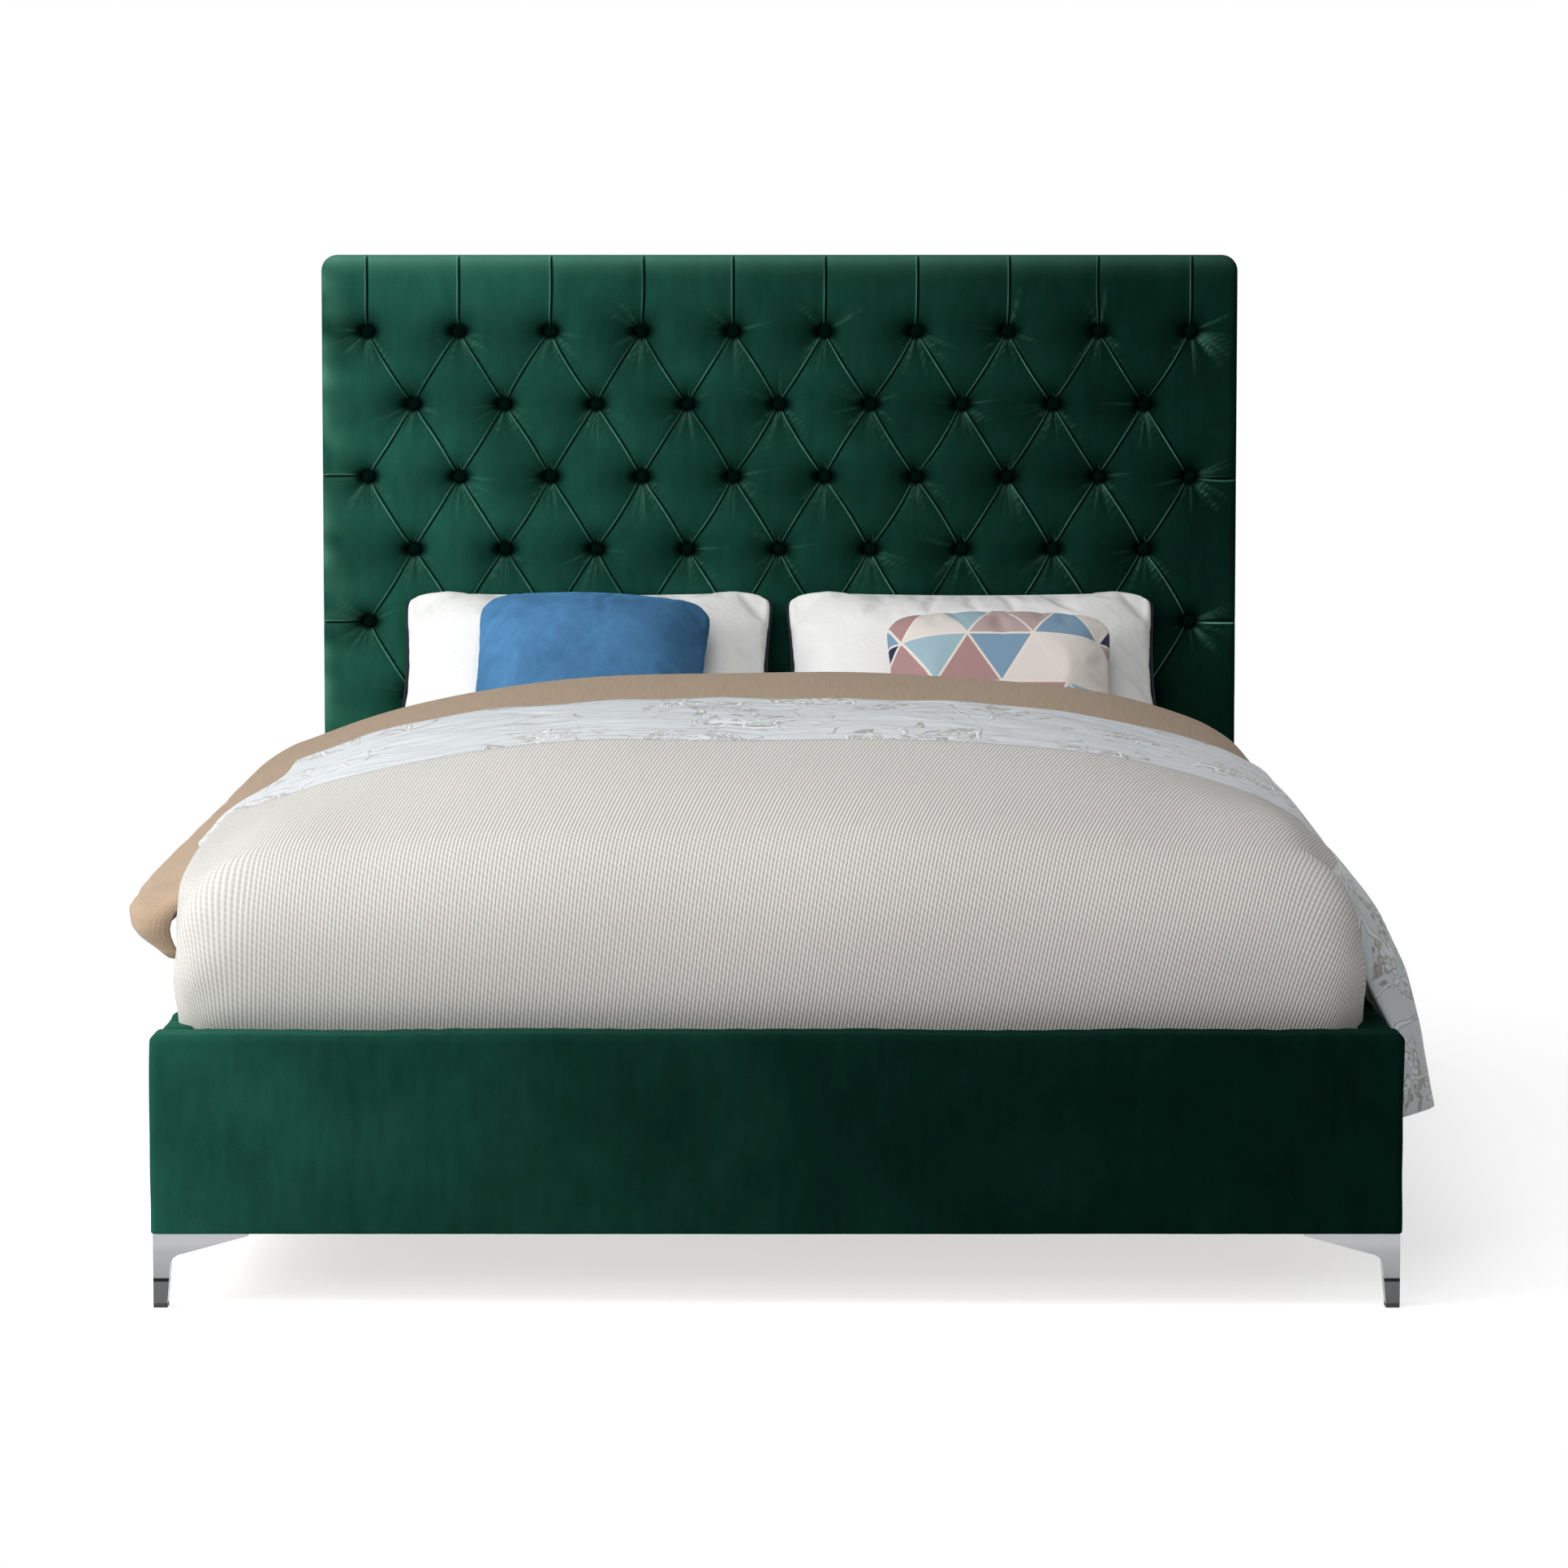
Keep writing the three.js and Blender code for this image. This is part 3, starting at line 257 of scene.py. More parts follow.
def ripples(x, y, wavelength, seed, waves=9):
    """Smooth random hills from about -1 to 1: waves of one rough length in all directions."""
    draw = np.random.default_rng(seed)
    total = np.zeros_like(x)
    for _ in range(waves):
        angle = draw.uniform(0, 2 * math.pi)
        size = wavelength * draw.uniform(0.7, 1.5)
        along = (x * math.cos(angle) + y * math.sin(angle)) / size
        total += np.sin(2 * math.pi * along + draw.uniform(0, 2 * math.pi))
    # The sum of the waves seldom passes 1.4 times the root of their number.
    return total / math.sqrt(waves) / 1.4


def smoothstep(low, high, value):
    """Eases from 0 at low to 1 at high."""
    t = np.clip((value - low) / (high - low), 0, 1)
    return t * t * (3 - 2 * t)


# ---- Materials -------------------------------------------------------------------


def plug(value, socket):
    """Gives a socket a value, or links it to another socket or to a node's first output in use."""
    if isinstance(value, bpy.types.Node):
        value = next(output for output in value.outputs if output.enabled)
    if isinstance(value, bpy.types.NodeSocket):
        socket.id_data.links.new(value, socket)
    else:
        socket.default_value = value


def add_node(tree, kind, inputs=None, stops=(), **settings):
    """Adds a node with its settings, plugs its inputs by name or number, and gives a colour ramp
    its stops."""
    node = tree.nodes.new("ShaderNode" + kind)
    for name, value in settings.items():
        setattr(node, name, value)
    for name, value in (inputs or {}).items():
        plug(value, node.inputs[name])
    for index, (position, value) in enumerate(stops):
        elements = node.color_ramp.elements
        if index == len(elements):
            elements.new(1.0)
        elements[index].position = position
        elements[index].color = (*value, 1.0)
    return node


def new_material(name, **values):
    """A Principled material with constant values set on the shader itself. Returns it with a
    function that adds nodes to it, and its shader."""
    material = bpy.data.materials.new(name)
    material.use_nodes = True
    material.node_tree.nodes.clear()
    add = partial(add_node, material.node_tree)
    shader = add("BsdfPrincipled", {key.replace("_", " "): value for key, value in values.items()})
    add("OutputMaterial", {"Surface": shader})
    return material, add, shader


def give_surface(add, shader, colour, height, depth, strength, under=None):
    """Gives a shader its colour and its relief: a height from 0 to 1 with its depth in metres,
    on top of the normal of another relief where there is one."""
    below = {"Normal": under} if under else {}
    relief = add("Bump", {"Height": height, "Distance": depth, "Strength": strength, **below})
    plug(colour, shader.inputs["Base Color"])
    plug(relief, shader.inputs["Normal"])


def shade(value, share):
    """A darker or lighter tone of a colour."""
    return tuple(min(c * share, 1) for c in value)


def greys(stops):
    """Stops of a grey ramp from pairs of a place and a tone."""
    return [(position, (tone, tone, tone)) for position, tone in stops]


# How far from a fold its marks in the velvet reach, and the marks from the left to the right: a
# painted highlight, a few millimetres wide, and a painted shade line.
FOLD_MARK = 0.008
FOLD_PAINTED_HIGHLIGHT = ((0.18, 0), (0.27, 0.85), (0.33, 0.85), (0.41, 0))
FOLD_PAINTED_SHADE = ((0.4, 0), (0.48, 0.95), (0.56, 0.9), (0.75, 0))
# Size of the velvet's brushed patches, and how dark its painted shade is at the bottom of folds and
# in the wells.
PATCH = 0.16
PAINTED_SHADE = 0.06
# How often a wave texture repeats in a metre, at a scale of 1.
WAVES = 3.18


def velvet_material(name, base, nap, sheen=0.36, painted_light=(1.0, 1.0, 1.0), tufted=False):
    """Cut velvet: a short polyester pile that is dark face on, pale where it leans away or is seen
    from the side, and worked into soft patches by brushing. The light from the left is painted in:
    one argument gives how light the velvet is painted at the left end and at the right one, and how
    fast it changes from one to the other. In tufting, painted shade darkens the bottom of folds and
    the wells round the buttons, and a painted highlight runs along the folded lip."""
    material, add, shader = new_material(
        name,
        Roughness=0.62,
        Specular_IOR_Level=0.0,
        Sheen_Weight=sheen,
        Sheen_Roughness=0.32,
        Sheen_Tint=(*nap, 1.0),
    )
    place = add("TexCoord").outputs["Object"]
    patches = add("TexNoise", {"Vector": place, "Scale": 1 / PATCH, "Detail": 3.0})
    # Brush marks: the pile lies in short streaks that run mostly down the cloth.
    stretched = add("Mapping", {"Vector": place, "Scale": (60.0, 60.0, 14.0)})
    streaks = add("TexNoise", {"Vector": stretched, "Scale": 1.0, "Detail": 4.0})
    # Pile fibres are far too fine to show, so the grain is drawn at about 1.5 mm.
    grain = add("TexNoise", {"Vector": place, "Scale": 650.0, "Detail": 2.0})
    tone = add(
        "ValToRGB", {"Fac": patches}, stops=[(0.3, shade(base, 0.75)), (0.7, shade(base, 1.2))]
    )
    streaked = add(
        "Mix", {"Factor": 0.25, 6: tone, 7: streaks}, data_type="RGBA", blend_type="OVERLAY"
    )
    grained = add(
        "Mix", {"Factor": 0.24, 6: streaked, 7: grain}, data_type="RGBA", blend_type="OVERLAY"
    )
    # Painted light: the colour is scaled from one value at the left end to another at the right
    # one, as the light comes from the left.
    along = add("SeparateXYZ", {"Vector": place}).outputs["X"]
    from_right = add(
        "MapRange",
        {"Value": along, "From Min": HALF_WIDTH, "From Max": -HALF_WIDTH},
        interpolation_type="SMOOTHSTEP" if tufted else "LINEAR",
    )
    eased = add("Math", {0: from_right, 1: painted_light[2]}, operation="POWER")
    painted_gradient = add("Math", {0: eased, 1: painted_light[0] - painted_light[1], 2: painted_light[1]}, operation="MULTIPLY_ADD")
    look = add("VectorMath", {0: grained, "Scale": painted_gradient}, operation="SCALE")
    painted_light_share = painted_gradient
    if tufted:
        # The mesh carries, per vertex, the distance across the nearest fold, how near it is, the
        # painted shade of the nearest well, and a painted highlight along the top, the left edge
        # and the wrinkles.
        fold = add("Attribute", attribute_name="fold").outputs["Vector"]
        painted_highlight = add("Attribute", attribute_name="painted_highlight").outputs["Fac"]
        parts = add("SeparateXYZ", {"Vector": fold}).outputs
        across = add(
            "MapRange", {"Value": parts["X"], "From Min": -FOLD_MARK, "From Max": FOLD_MARK}
        )
        # Across each fold: a painted highlight on the lip and a painted shade line in the crease.
        pale = add("ValToRGB", {"Fac": across}, stops=greys(FOLD_PAINTED_HIGHLIGHT))
        closed = add("ValToRGB", {"Fac": across}, stops=greys(FOLD_PAINTED_SHADE))
        # The lip is not equally plump all along a fold, so its painted highlight is uneven too.
        uneven = add(
            "MapRange", {"Value": patches, "From Min": 0.35, "From Max": 0.6, "To Min": 0.35}
        )
        near = add("Math", {0: parts["Y"], 1: uneven}, operation="MULTIPLY")
        painted_highlight_share = add(
            "Math", {0: pale, 1: near, 2: painted_highlight}, operation="MULTIPLY_ADD", use_clamp=True
        )
        # Painted highlight: the lip, the top edge, the left edge and the wrinkles are mixed towards
        # the nap colour.
        lit = add("Mix", {"Factor": painted_highlight_share, 6: look, 7: (*nap, 1.0)}, data_type="RGBA")
        # Painted shade: the creases and the wells round the buttons are mixed towards near black.
        painted_fold_shade = add("Math", {0: closed, 1: parts["Y"]}, operation="MULTIPLY")
        depth = add("Math", {0: painted_fold_shade, 1: parts["Z"]}, operation="MAXIMUM")
        look = add(
            "Mix", {"Factor": depth, 6: lit, 7: (*shade(base, PAINTED_SHADE), 1.0)}, data_type="RGBA"
        )
        # The sheen is taken away where shade is painted, and follows the painted light across the
        # piece.
        painted_light_share = add("Math", {0: depth, 1: -1.0, 2: 1.0}, operation="MULTIPLY_ADD")
        painted_light_share = add("Math", {0: painted_light_share, 1: painted_gradient}, operation="MULTIPLY")
    weight = add("Math", {0: painted_light_share, 1: sheen}, operation="MULTIPLY")
    plug(weight, shader.inputs["Sheen Weight"])
    give_surface(add, shader, look, grain, 0.0004, 0.45)
    return material


def woven_material(name, base, thread, contrast):
    """Plain-woven cloth: threads over and under each other at the given spacing, with slubs
    and a little uneven dye."""
    material, add, shader = new_material(
        name, Roughness=0.85, Specular_IOR_Level=0.2, Sheen_Weight=0.12
    )
    place = add("TexCoord").outputs["UV"]
    uneven = {"Vector": place, "Distortion": 0.6, "Detail": 2.0, "Detail Scale": 0.6}
    warp, weft = (
        add("TexWave", {**uneven, "Scale": share / thread / WAVES}, bands_direction=axis)
        for axis, share in (("X", 1.0), ("Y", 0.7))
    )
    weave = add("Math", {0: warp.outputs["Fac"], 1: weft.outputs["Fac"]}, operation="MULTIPLY")
    # Slubs: long thin threads that are thicker than their neighbours.
    drawn = add("Mapping", {"Vector": place, "Scale": (330.0, 9.0, 1.0)})
    slubs = add("TexNoise", {"Vector": drawn, "Scale": 1.0, "Detail": 2.0})
    mixed = add("Math", {0: slubs, 1: 0.8, 2: weave}, operation="MULTIPLY_ADD")
    tone = add(
        "ValToRGB",
        {"Fac": mixed},
        stops=[(0.25, shade(base, 1 - contrast)), (1.0, shade(base, 1.05))],
    )
    give_surface(add, shader, tone, mixed, 0.0005, 0.6)
    return material


def ribbed_material(base, rib=0.006):
    """Corded cotton: raised ribs that run the length of the bed, broken by a slanting twill."""
    material, add, shader = new_material(
        "corded_cotton", Roughness=0.88, Specular_IOR_Level=0.18, Sheen_Weight=0.15
    )
    place = add("TexCoord").outputs["UV"]
    # The ribs run straight at one side and lean more and more towards the other.
    parts = add("SeparateXYZ", {"Vector": place}).outputs
    skew = add("Math", {0: parts["X"], 1: parts["Y"]}, operation="MULTIPLY")
    rib_place = add("Math", {0: skew, 1: 0.2, 2: parts["X"]}, operation="MULTIPLY_ADD")
    leaning = add("CombineXYZ", {"X": rib_place, "Y": parts["Y"]})
    ribs = add(
        "TexWave",
        {
            "Vector": leaning,
            "Scale": 1 / rib / WAVES,
            "Distortion": 0.4,
            "Detail": 1.0,
            "Detail Scale": 0.4,
        },
        bands_direction="X",
    )
    slanted = add("Mapping", {"Vector": place, "Rotation": (0.0, 0.0, 0.95)})
    twill = add(
        "TexWave",
        {"Vector": slanted, "Scale": 0.7 / rib / WAVES, "Distortion": 0.7, "Detail": 1.0},
        bands_direction="X",
    )
    height = add(
        "Math", {0: twill.outputs["Fac"], 1: 0.3, 2: ribs.outputs["Fac"]}, operation="MULTIPLY_ADD"
    )
    tone = add(
        "ValToRGB", {"Fac": height}, stops=[(0.1, shade(base, 0.74)), (0.75, shade(base, 1.04))]
    )
    give_surface(add, shader, tone, height, 0.001, 0.7)
    return material


def embroidered_material(base):
    """Rumpled cotton sateen with white embroidery: sprays of fine stems and small flowers in
    raised thread, each with the thin shadow line that its edge throws."""
    material, add, shader = new_material(
        "embroidered_sateen", Roughness=0.55, Specular_IOR_Level=0.3, Sheen_Weight=0.1
    )
    place = add("TexCoord").outputs["UV"]
    drift = add("TexNoise", {"Vector": place, "Scale": 5.0, "Detail": 2.0})
    warped = add(
        "VectorMath",
        {0: drift.outputs["Color"], 1: (0.16, 0.16, 0.0), 2: place},
        operation="MULTIPLY_ADD",
    )
    # Stems: the walls between wandering cells, a few millimetres wide.
    stems = add("TexVoronoi", {"Vector": warped, "Scale": 13.0}, feature="DISTANCE_TO_EDGE")
    stem_line = add("MapRange", {"Value": stems, "From Min": 0.04, "From Max": 0.0})
    # Petals: small cells, kept only near the centres of far larger ones.
    petals = add("TexVoronoi", {"Vector": warped, "Scale": 85.0})
    petal = add("MapRange", {"Value": petals, "From Min": 0.6, "From Max": 0.15})
    clusters = add("TexVoronoi", {"Vector": warped, "Scale": 5.5})
    near = add("MapRange", {"Value": clusters, "From Min": 0.36, "From Max": 0.2})
    flowers = add("Math", {0: petal, 1: near}, operation="MULTIPLY")
    # Only the walls that pass near a flower are worked as stems.
    spray = add("MapRange", {"Value": clusters, "From Min": 0.56, "From Max": 0.42})
    branches = add("Math", {0: stem_line, 1: spray}, operation="MULTIPLY")
    raised = add("Math", {0: branches, 1: flowers}, operation="MAXIMUM")
    # Washed cotton keeps soft rumples, which here run across the bed.
    stretched = add("Mapping", {"Vector": warped, "Scale": (7.0, 34.0, 1.0)})
    rumples = add("TexNoise", {"Vector": stretched, "Scale": 1.0, "Detail": 3.0})
    tone = add(
        "ValToRGB",
        {"Fac": raised},
        stops=[
            (0.0, shade(base, 0.9)),
            (0.09, linear("#96928a")),
            (0.26, linear("#bbb8af")),
            (0.5, shade(base, 1.12)),
        ],
    )
    rumpled = add("Bump", {"Height": rumples, "Distance": 0.017, "Strength": 0.7})
    give_surface(add, shader, tone, raised, 0.0022, 0.7, rumpled)
    return material


def triangle_material(tilt, middle):
    """Printed cotton in a plain lattice of triangles with thin cream lines between them."""
    material, add, shader = new_material(
        "printed_cotton", Roughness=0.85, Specular_IOR_Level=0.2, Sheen_Weight=0.1
    )
    place = add("TexCoord").outputs["Object"]
    centred = add("VectorMath", {0: place, 1: tuple(-c for c in middle)}, operation="ADD")
    flat = add("VectorRotate", {"Vector": centred, "Angle": -tilt}, rotation_type="X_AXIS")
    # Slanted axes: one cell of the lattice is 118 mm wide and holds two triangles.
    across = add("VectorMath", {0: flat, 1: (8.5, -4.6, 0.0)}, operation="DOT_PRODUCT")
    upward = add("VectorMath", {0: flat, 1: (0.0, 9.2, 0.0)}, operation="DOT_PRODUCT")
    parts, cells = [], []
    for value in (across, upward):
        parts.append(add("Math", {0: value}, operation="FRACT"))
        cells.append(add("Math", {0: value}, operation="FLOOR"))
    both = add("Math", {0: parts[0], 1: parts[1]}, operation="ADD")
    second = add("Math", {0: both, 1: 1.0}, operation="GREATER_THAN")
    cell = add("CombineXYZ", {"X": cells[0], "Y": cells[1], "Z": second})
    lot = add("TexWhiteNoise", {"Vector": cell}, noise_dimensions="3D")
    tints = ["#9ebac5", "#e3dcd5", "#ad8989", "#7d9cb5", "#e3dcd5", "#2b2a4a", "#b9a3a0", "#9ebac5"]
    tone = add(
        "ValToRGB",
        {"Fac": lot},
        stops=[(i / len(tints), linear(code)) for i, code in enumerate(tints)],
    )
    tone.color_ramp.interpolation = "CONSTANT"
    # Lines: how near the nearest of the lattice's three edges is, in shares of a cell.
    from_diagonal = add("Math", {0: both, 1: 1.0}, operation="SUBTRACT")
    edges = [
        add("Math", {0: value}, operation="ABSOLUTE")
        for value in (parts[0], parts[1], from_diagonal)
    ]
    for value in parts:
        edges.append(add("Math", {0: 1.0, 1: value}, operation="SUBTRACT"))
    nearest = edges[0]
    for edge in edges[1:]:
        nearest = add("Math", {0: nearest, 1: edge}, operation="MINIMUM")
    on_line = add("MapRange", {"Value": nearest, "From Min": 0.028, "From Max": 0.016})
    printed = add(
        "Mix", {"Factor": on_line, 6: tone, 7: (*linear("#e8e1d8"), 1.0)}, data_type="RGBA"
    )
    weave = add("TexNoise", {"Vector": place, "Scale": 700.0, "Detail": 2.0})
    woven = add(
        "Mix", {"Factor": 0.15, 6: printed, 7: weave}, data_type="RGBA", blend_type="OVERLAY"
    )
    give_surface(add, shader, woven, weave, 0.0004, 0.4)
    return material


def grained_material(name, base, grain, depth, contrast=0.18, creases=0.0, **values):
    """A quiet finish: a fine grain in tone and surface, and soft creases where it is cloth."""
    material, add, shader = new_material(name, **values)
    place = add("TexCoord").outputs["Object"]
    noise = add("TexNoise", {"Vector": place, "Scale": grain, "Detail": 5.0})
    tone = add("ValToRGB", {"Fac": noise}, stops=[(0.3, shade(base, 1 - contrast)), (0.7, base)])
    soft = None
    if creases:
        crumple = add(
            "TexNoise", {"Vector": place, "Scale": 16.0, "Detail": 3.0, "Distortion": 0.8}
        )
        soft = add("Bump", {"Height": crumple, "Distance": creases, "Strength": 0.6})
    give_surface(add, shader, tone, noise, depth, 0.6, soft)
    return material


def percale_material(name, creases):
    """Smooth white cotton of pillow cases and duvet covers, softly creased."""
    return grained_material(
        name,
        colours().cotton,
        900.0,
        0.0003,
        contrast=0.05,
        creases=creases,
        Roughness=0.8,
        Specular_IOR_Level=0.2,
    )


def pine_material(name, base, along):
    """Planed pine: long grain with darker latewood lines and a satin, unvarnished face."""
    material, add, shader = new_material(name, Roughness=0.55, Specular_IOR_Level=0.35)
    place = add("TexCoord").outputs["Object"]
    scale = [26.0, 26.0, 26.0]
    scale[along] = 1.6
    grain = add("Mapping", {"Vector": place, "Scale": scale})
    rings = add(
        "TexWave",
        {"Vector": grain, "Scale": 0.5, "Distortion": 5.0, "Detail": 3.0, "Detail Scale": 1.2},
        bands_direction="DIAGONAL",
    )
    fibres = add("TexNoise", {"Vector": grain, "Scale": 9.0, "Detail": 6.0})
    late = (base[0] * 0.62, base[1] * 0.5, base[2] * 0.4)
    tone = add(
        "ValToRGB",
        {"Fac": rings.outputs["Fac"]},
        stops=[(0.0, base), (0.72, shade(base, 0.93)), (1.0, late)],
    )
    mixed = add("Mix", {"Factor": 0.3, 6: tone, 7: fibres}, data_type="RGBA", blend_type="OVERLAY")
    give_surface(add, shader, mixed, fibres, 0.0004, 0.5)
    return material


# Height over which the painted reflection on a corner leg is spread.
LEG_HEIGHT = 0.1


def chrome_material():
    """Chrome plate on a zinc casting: bright metal, with the faint ripple that polishing leaves and
    a light haze where it has been handled. Its colour carries a painted reflection: darker over the
    lower column, as if mirroring the floor, with a dark line above that, and bright at the top."""
    material, add, shader = new_material("chrome_plate", Metallic=1.0)
    plate = colours().chrome
    place = add("TexCoord").outputs["Object"]
    height = add("SeparateXYZ", {"Vector": place}).outputs["Z"]
    share = add("MapRange", {"Value": height, "From Min": 0.0, "From Max": LEG_HEIGHT})
    # Painted reflection: dark low down, a darker line, then lighter up to the plain plate at the
    # top.
    painted_reflection = add(
        "ValToRGB",
        {"Fac": share},
        stops=[
            (0.0, shade(plate, 0.22)),
            (0.35, shade(plate, 0.26)),
            (0.37, shade(plate, 0.03)),
            (0.4, shade(plate, 0.03)),
            (0.42, shade(plate, 0.6)),
            (0.75, shade(plate, 0.8)),
            (0.9, plate),
        ],
    )
    ripple = add("TexNoise", {"Vector": place, "Scale": 40.0, "Detail": 1.0})
    haze = add("MapRange", {"Value": ripple, "To Min": 0.08, "To Max": 0.2})
    plug(haze, shader.inputs["Roughness"])
    give_surface(add, shader, painted_reflection, ripple, 0.0006, 0.3)
    return material


def webbing_material(base):
    """Woven polypropylene strap: flat ribs across the strap and a dull plastic shine."""
    material, add, shader = new_material(
        "polypropylene_webbing", Roughness=0.5, Specular_IOR_Level=0.4
    )
    place = add("TexCoord").outputs["Object"]
    ribs = add("TexWave", {"Vector": place, "Scale": 105.0, "Distortion": 0.4}, bands_direction="Y")
    tone = add(
        "ValToRGB",
        {"Fac": ribs.outputs["Fac"]},
        stops=[(0.0, shade(base, 0.6)), (0.8, shade(base, 1.4))],
    )
    give_surface(add, shader, tone, ribs.outputs["Fac"], 0.0006, 0.7)
    return material


# ---- Headboard -------------------------------------------------------------------


BUTTONS = 10
# How far a fold's line runs past the headboard's top, its pad's bottom and its sides.
PAST_TOP, PAST_BOTTOM, PAST_SIDE = 0.05, 0.01, 0.03
# Places of the full rows, counted from 0, whose end buttons have a fold out to the side.
SIDE_FOLD_ROWS = (2, 4)
# How far a fold strays from the straight line, and how wide a button's wrinkle is.
FOLD_BOW = 0.0045
WRINKLE_WIDTH = 0.0017
# The velvet lies flat within this distance of a button's middle, and rises from there.
SEAT = 0.008
WELL_POWER = 1.15
# What the velvet's material gets as the distance to a fold where there is none near.
NO_FOLD = 0.02


def button_places():
    """Centres of the buttons as (x, z), row by row, from the frame's button rows."""
    pitch = 2 * HALF_WIDTH / BUTTONS
    rows = []
    for index, (low, high) in enumerate(ROW_BOXES):
        count = BUTTONS - index % 2
        z = (low.z + high.z) / 2
        rows.append([((i - (count - 1) / 2) * pitch, z) for i in range(count)])
    return rows


def pleat_lines():
    """Folds between neighbouring buttons, up over the top edge, down to the pad's bottom, and
    out to the sides from the full rows."""
    rows = button_places()
    pitch = rows[0][1][0] - rows[0][0][0]
    lines = []
    for index, row in enumerate(rows):
        below = rows[index + 1] if index + 1 < len(rows) else []
        for start in row:
            lines += [(start, end) for end in below if abs(end[0] - start[0]) < pitch]
            if index == 0:
                lines.append((start, (start[0], COVER_HIGH.z + PAST_TOP)))
            if not below:
                lines.append((start, (start[0], FOAM_LOW.z - PAST_BOTTOM)))
        if index in SIDE_FOLD_ROWS:
            for end in (row[0], row[-1]):
                side = math.copysign(HALF_WIDTH + PAST_SIDE, end[0])
                lines.append((end, (side, end[1])))
    return lines


def nearest_pleat(x, z):
    """Signed distance to the nearest pleat, positive to its right, and the way across it."""
    draw = random.Random(3)
    best = np.full_like(x, 1.0)
    signed = np.full_like(x, 1.0)
    across = np.zeros((len(x), 2))
    for (ax, az), (bx, bz) in pleat_lines():
        dx, dz = bx - ax, bz - az
        size = math.hypot(dx, dz)
        nx, nz = -dz / size, dx / size
        if nx < 0:
            nx, nz = -nx, -nz
        bow = draw.uniform(-1, 1) * FOLD_BOW
        t = np.clip(((x - ax) * dx + (z - az) * dz) / size**2, 0, 1)
        ox = x - ax - t * dx - nx * bow * np.sin(math.pi * t)
        oz = z - az - t * dz - nz * bow * np.sin(math.pi * t)
        distance = np.hypot(ox, oz)
        closer = distance < best
        best[closer] = distance[closer]
        side = ox * nx + oz * nz
        signed[closer] = (np.sign(side) * distance)[closer]
        across[closer] = (nx, nz)
    return signed, across


def button_wrinkles(x, z):
    """Short creases that fan out from each button, mostly downwards, and out to the sides
    from the buttons next to them."""
    draw = random.Random(11)
    total = np.zeros_like(x)
    for row in button_places():
        for bx, bz in row:
            near = np.hypot(x - bx, z - bz) < 0.085
            px, pz = x[near] - bx, z[near] - bz
            reach = np.hypot(px, pz)
            drawn = np.zeros_like(px)
            at_side = abs(bx) > HALF_WIDTH - 0.1
            for _ in range(16 if at_side else 11):
                if at_side and draw.random() < 0.5:
                    angle = draw.uniform(150, 240)
                    angle = angle if bx < 0 else 180 - angle
                elif draw.random() < 0.85:
                    angle = draw.gauss(-95, 34)
                else:
                    angle = draw.uniform(0, 360)
                ux, uz = math.cos(math.radians(angle)), math.sin(math.radians(angle))
                along = px * ux + pz * uz
                aside = np.abs(px * uz - pz * ux)
                far = draw.uniform(0.022, 0.04)
                fade = np.exp(-((reach / far) ** 2) / 2) * (along > 0)
                drawn += draw.uniform(0.5, 1) * fade * np.exp(-((aside / WRINKLE_WIDTH) ** 2))
            total[near] += drawn
    return np.minimum(total, 1.6)


def round_corners(x, z, radius, half, top):
    """Draws a rectangle's upper corners in to the given radius."""
    a = np.maximum(np.abs(x) - (half - radius), 0)
    b = np.maximum(z - (top - radius), 0)
    both = np.hypot(a, b)
    shrink = np.where(both > 0, np.maximum(a, b) / np.maximum(both, 1e-9), 1)
    rx = np.sign(x) * (np.minimum(np.abs(x), half - radius) + a * shrink)
    rz = np.minimum(z, top - radius) + b * shrink
    return rx, rz


def inside_outline(x, z, radius, half, top):
    """How far a point lies inside the headboard's front outline."""
    a = np.maximum(np.abs(x) - (half - radius), 0)
    b = np.maximum(z - (top - radius), 0)
    straight = np.minimum(half - np.abs(x), top - z)
    return np.where((a > 0) & (b > 0), radius - np.hypot(a, b), straight)


def button_reach(x, z):
    """Distance to the nearest button."""
    buttons = [place for row in button_places() for place in row]
    return np.min([np.hypot(x - bx, z - bz) for bx, bz in buttons], axis=0)


def tuft_depth(x, z, signed):
    """How far the velvet lies behind a diamond's crown."""
    s = sizes()
    crease_width, lip_away, lip_width = 0.0019, 0.0036, 0.0022
    wrinkle_depth, slack_depth = 0.0018, 0.0012
    away = np.abs(signed)
    to_button = button_reach(x, z)
    broad = s.pleat_depth * np.maximum(1 - away / s.pleat_reach, 0) ** 2
    rise = np.maximum(to_button - SEAT, 0) / s.well_reach
    well = s.tuft_depth * np.exp(-(rise**WELL_POWER))
    hollow = (broad**3 + well**3) ** (1 / 3)
    in_fold = smoothstep(0.012, 0.03, to_button)
    crease = s.crease_depth * np.exp(-away / crease_width) * in_fold
    lip = s.lip * np.exp(-(((signed + lip_away) / lip_width) ** 2)) * in_fold
    wrinkles = wrinkle_depth * button_wrinkles(x, z) * smoothstep(0.010, 0.017, to_button)
    slack = slack_depth * ripples(x, z, 0.11, 5)
    return hollow + crease - lip + wrinkles + slack


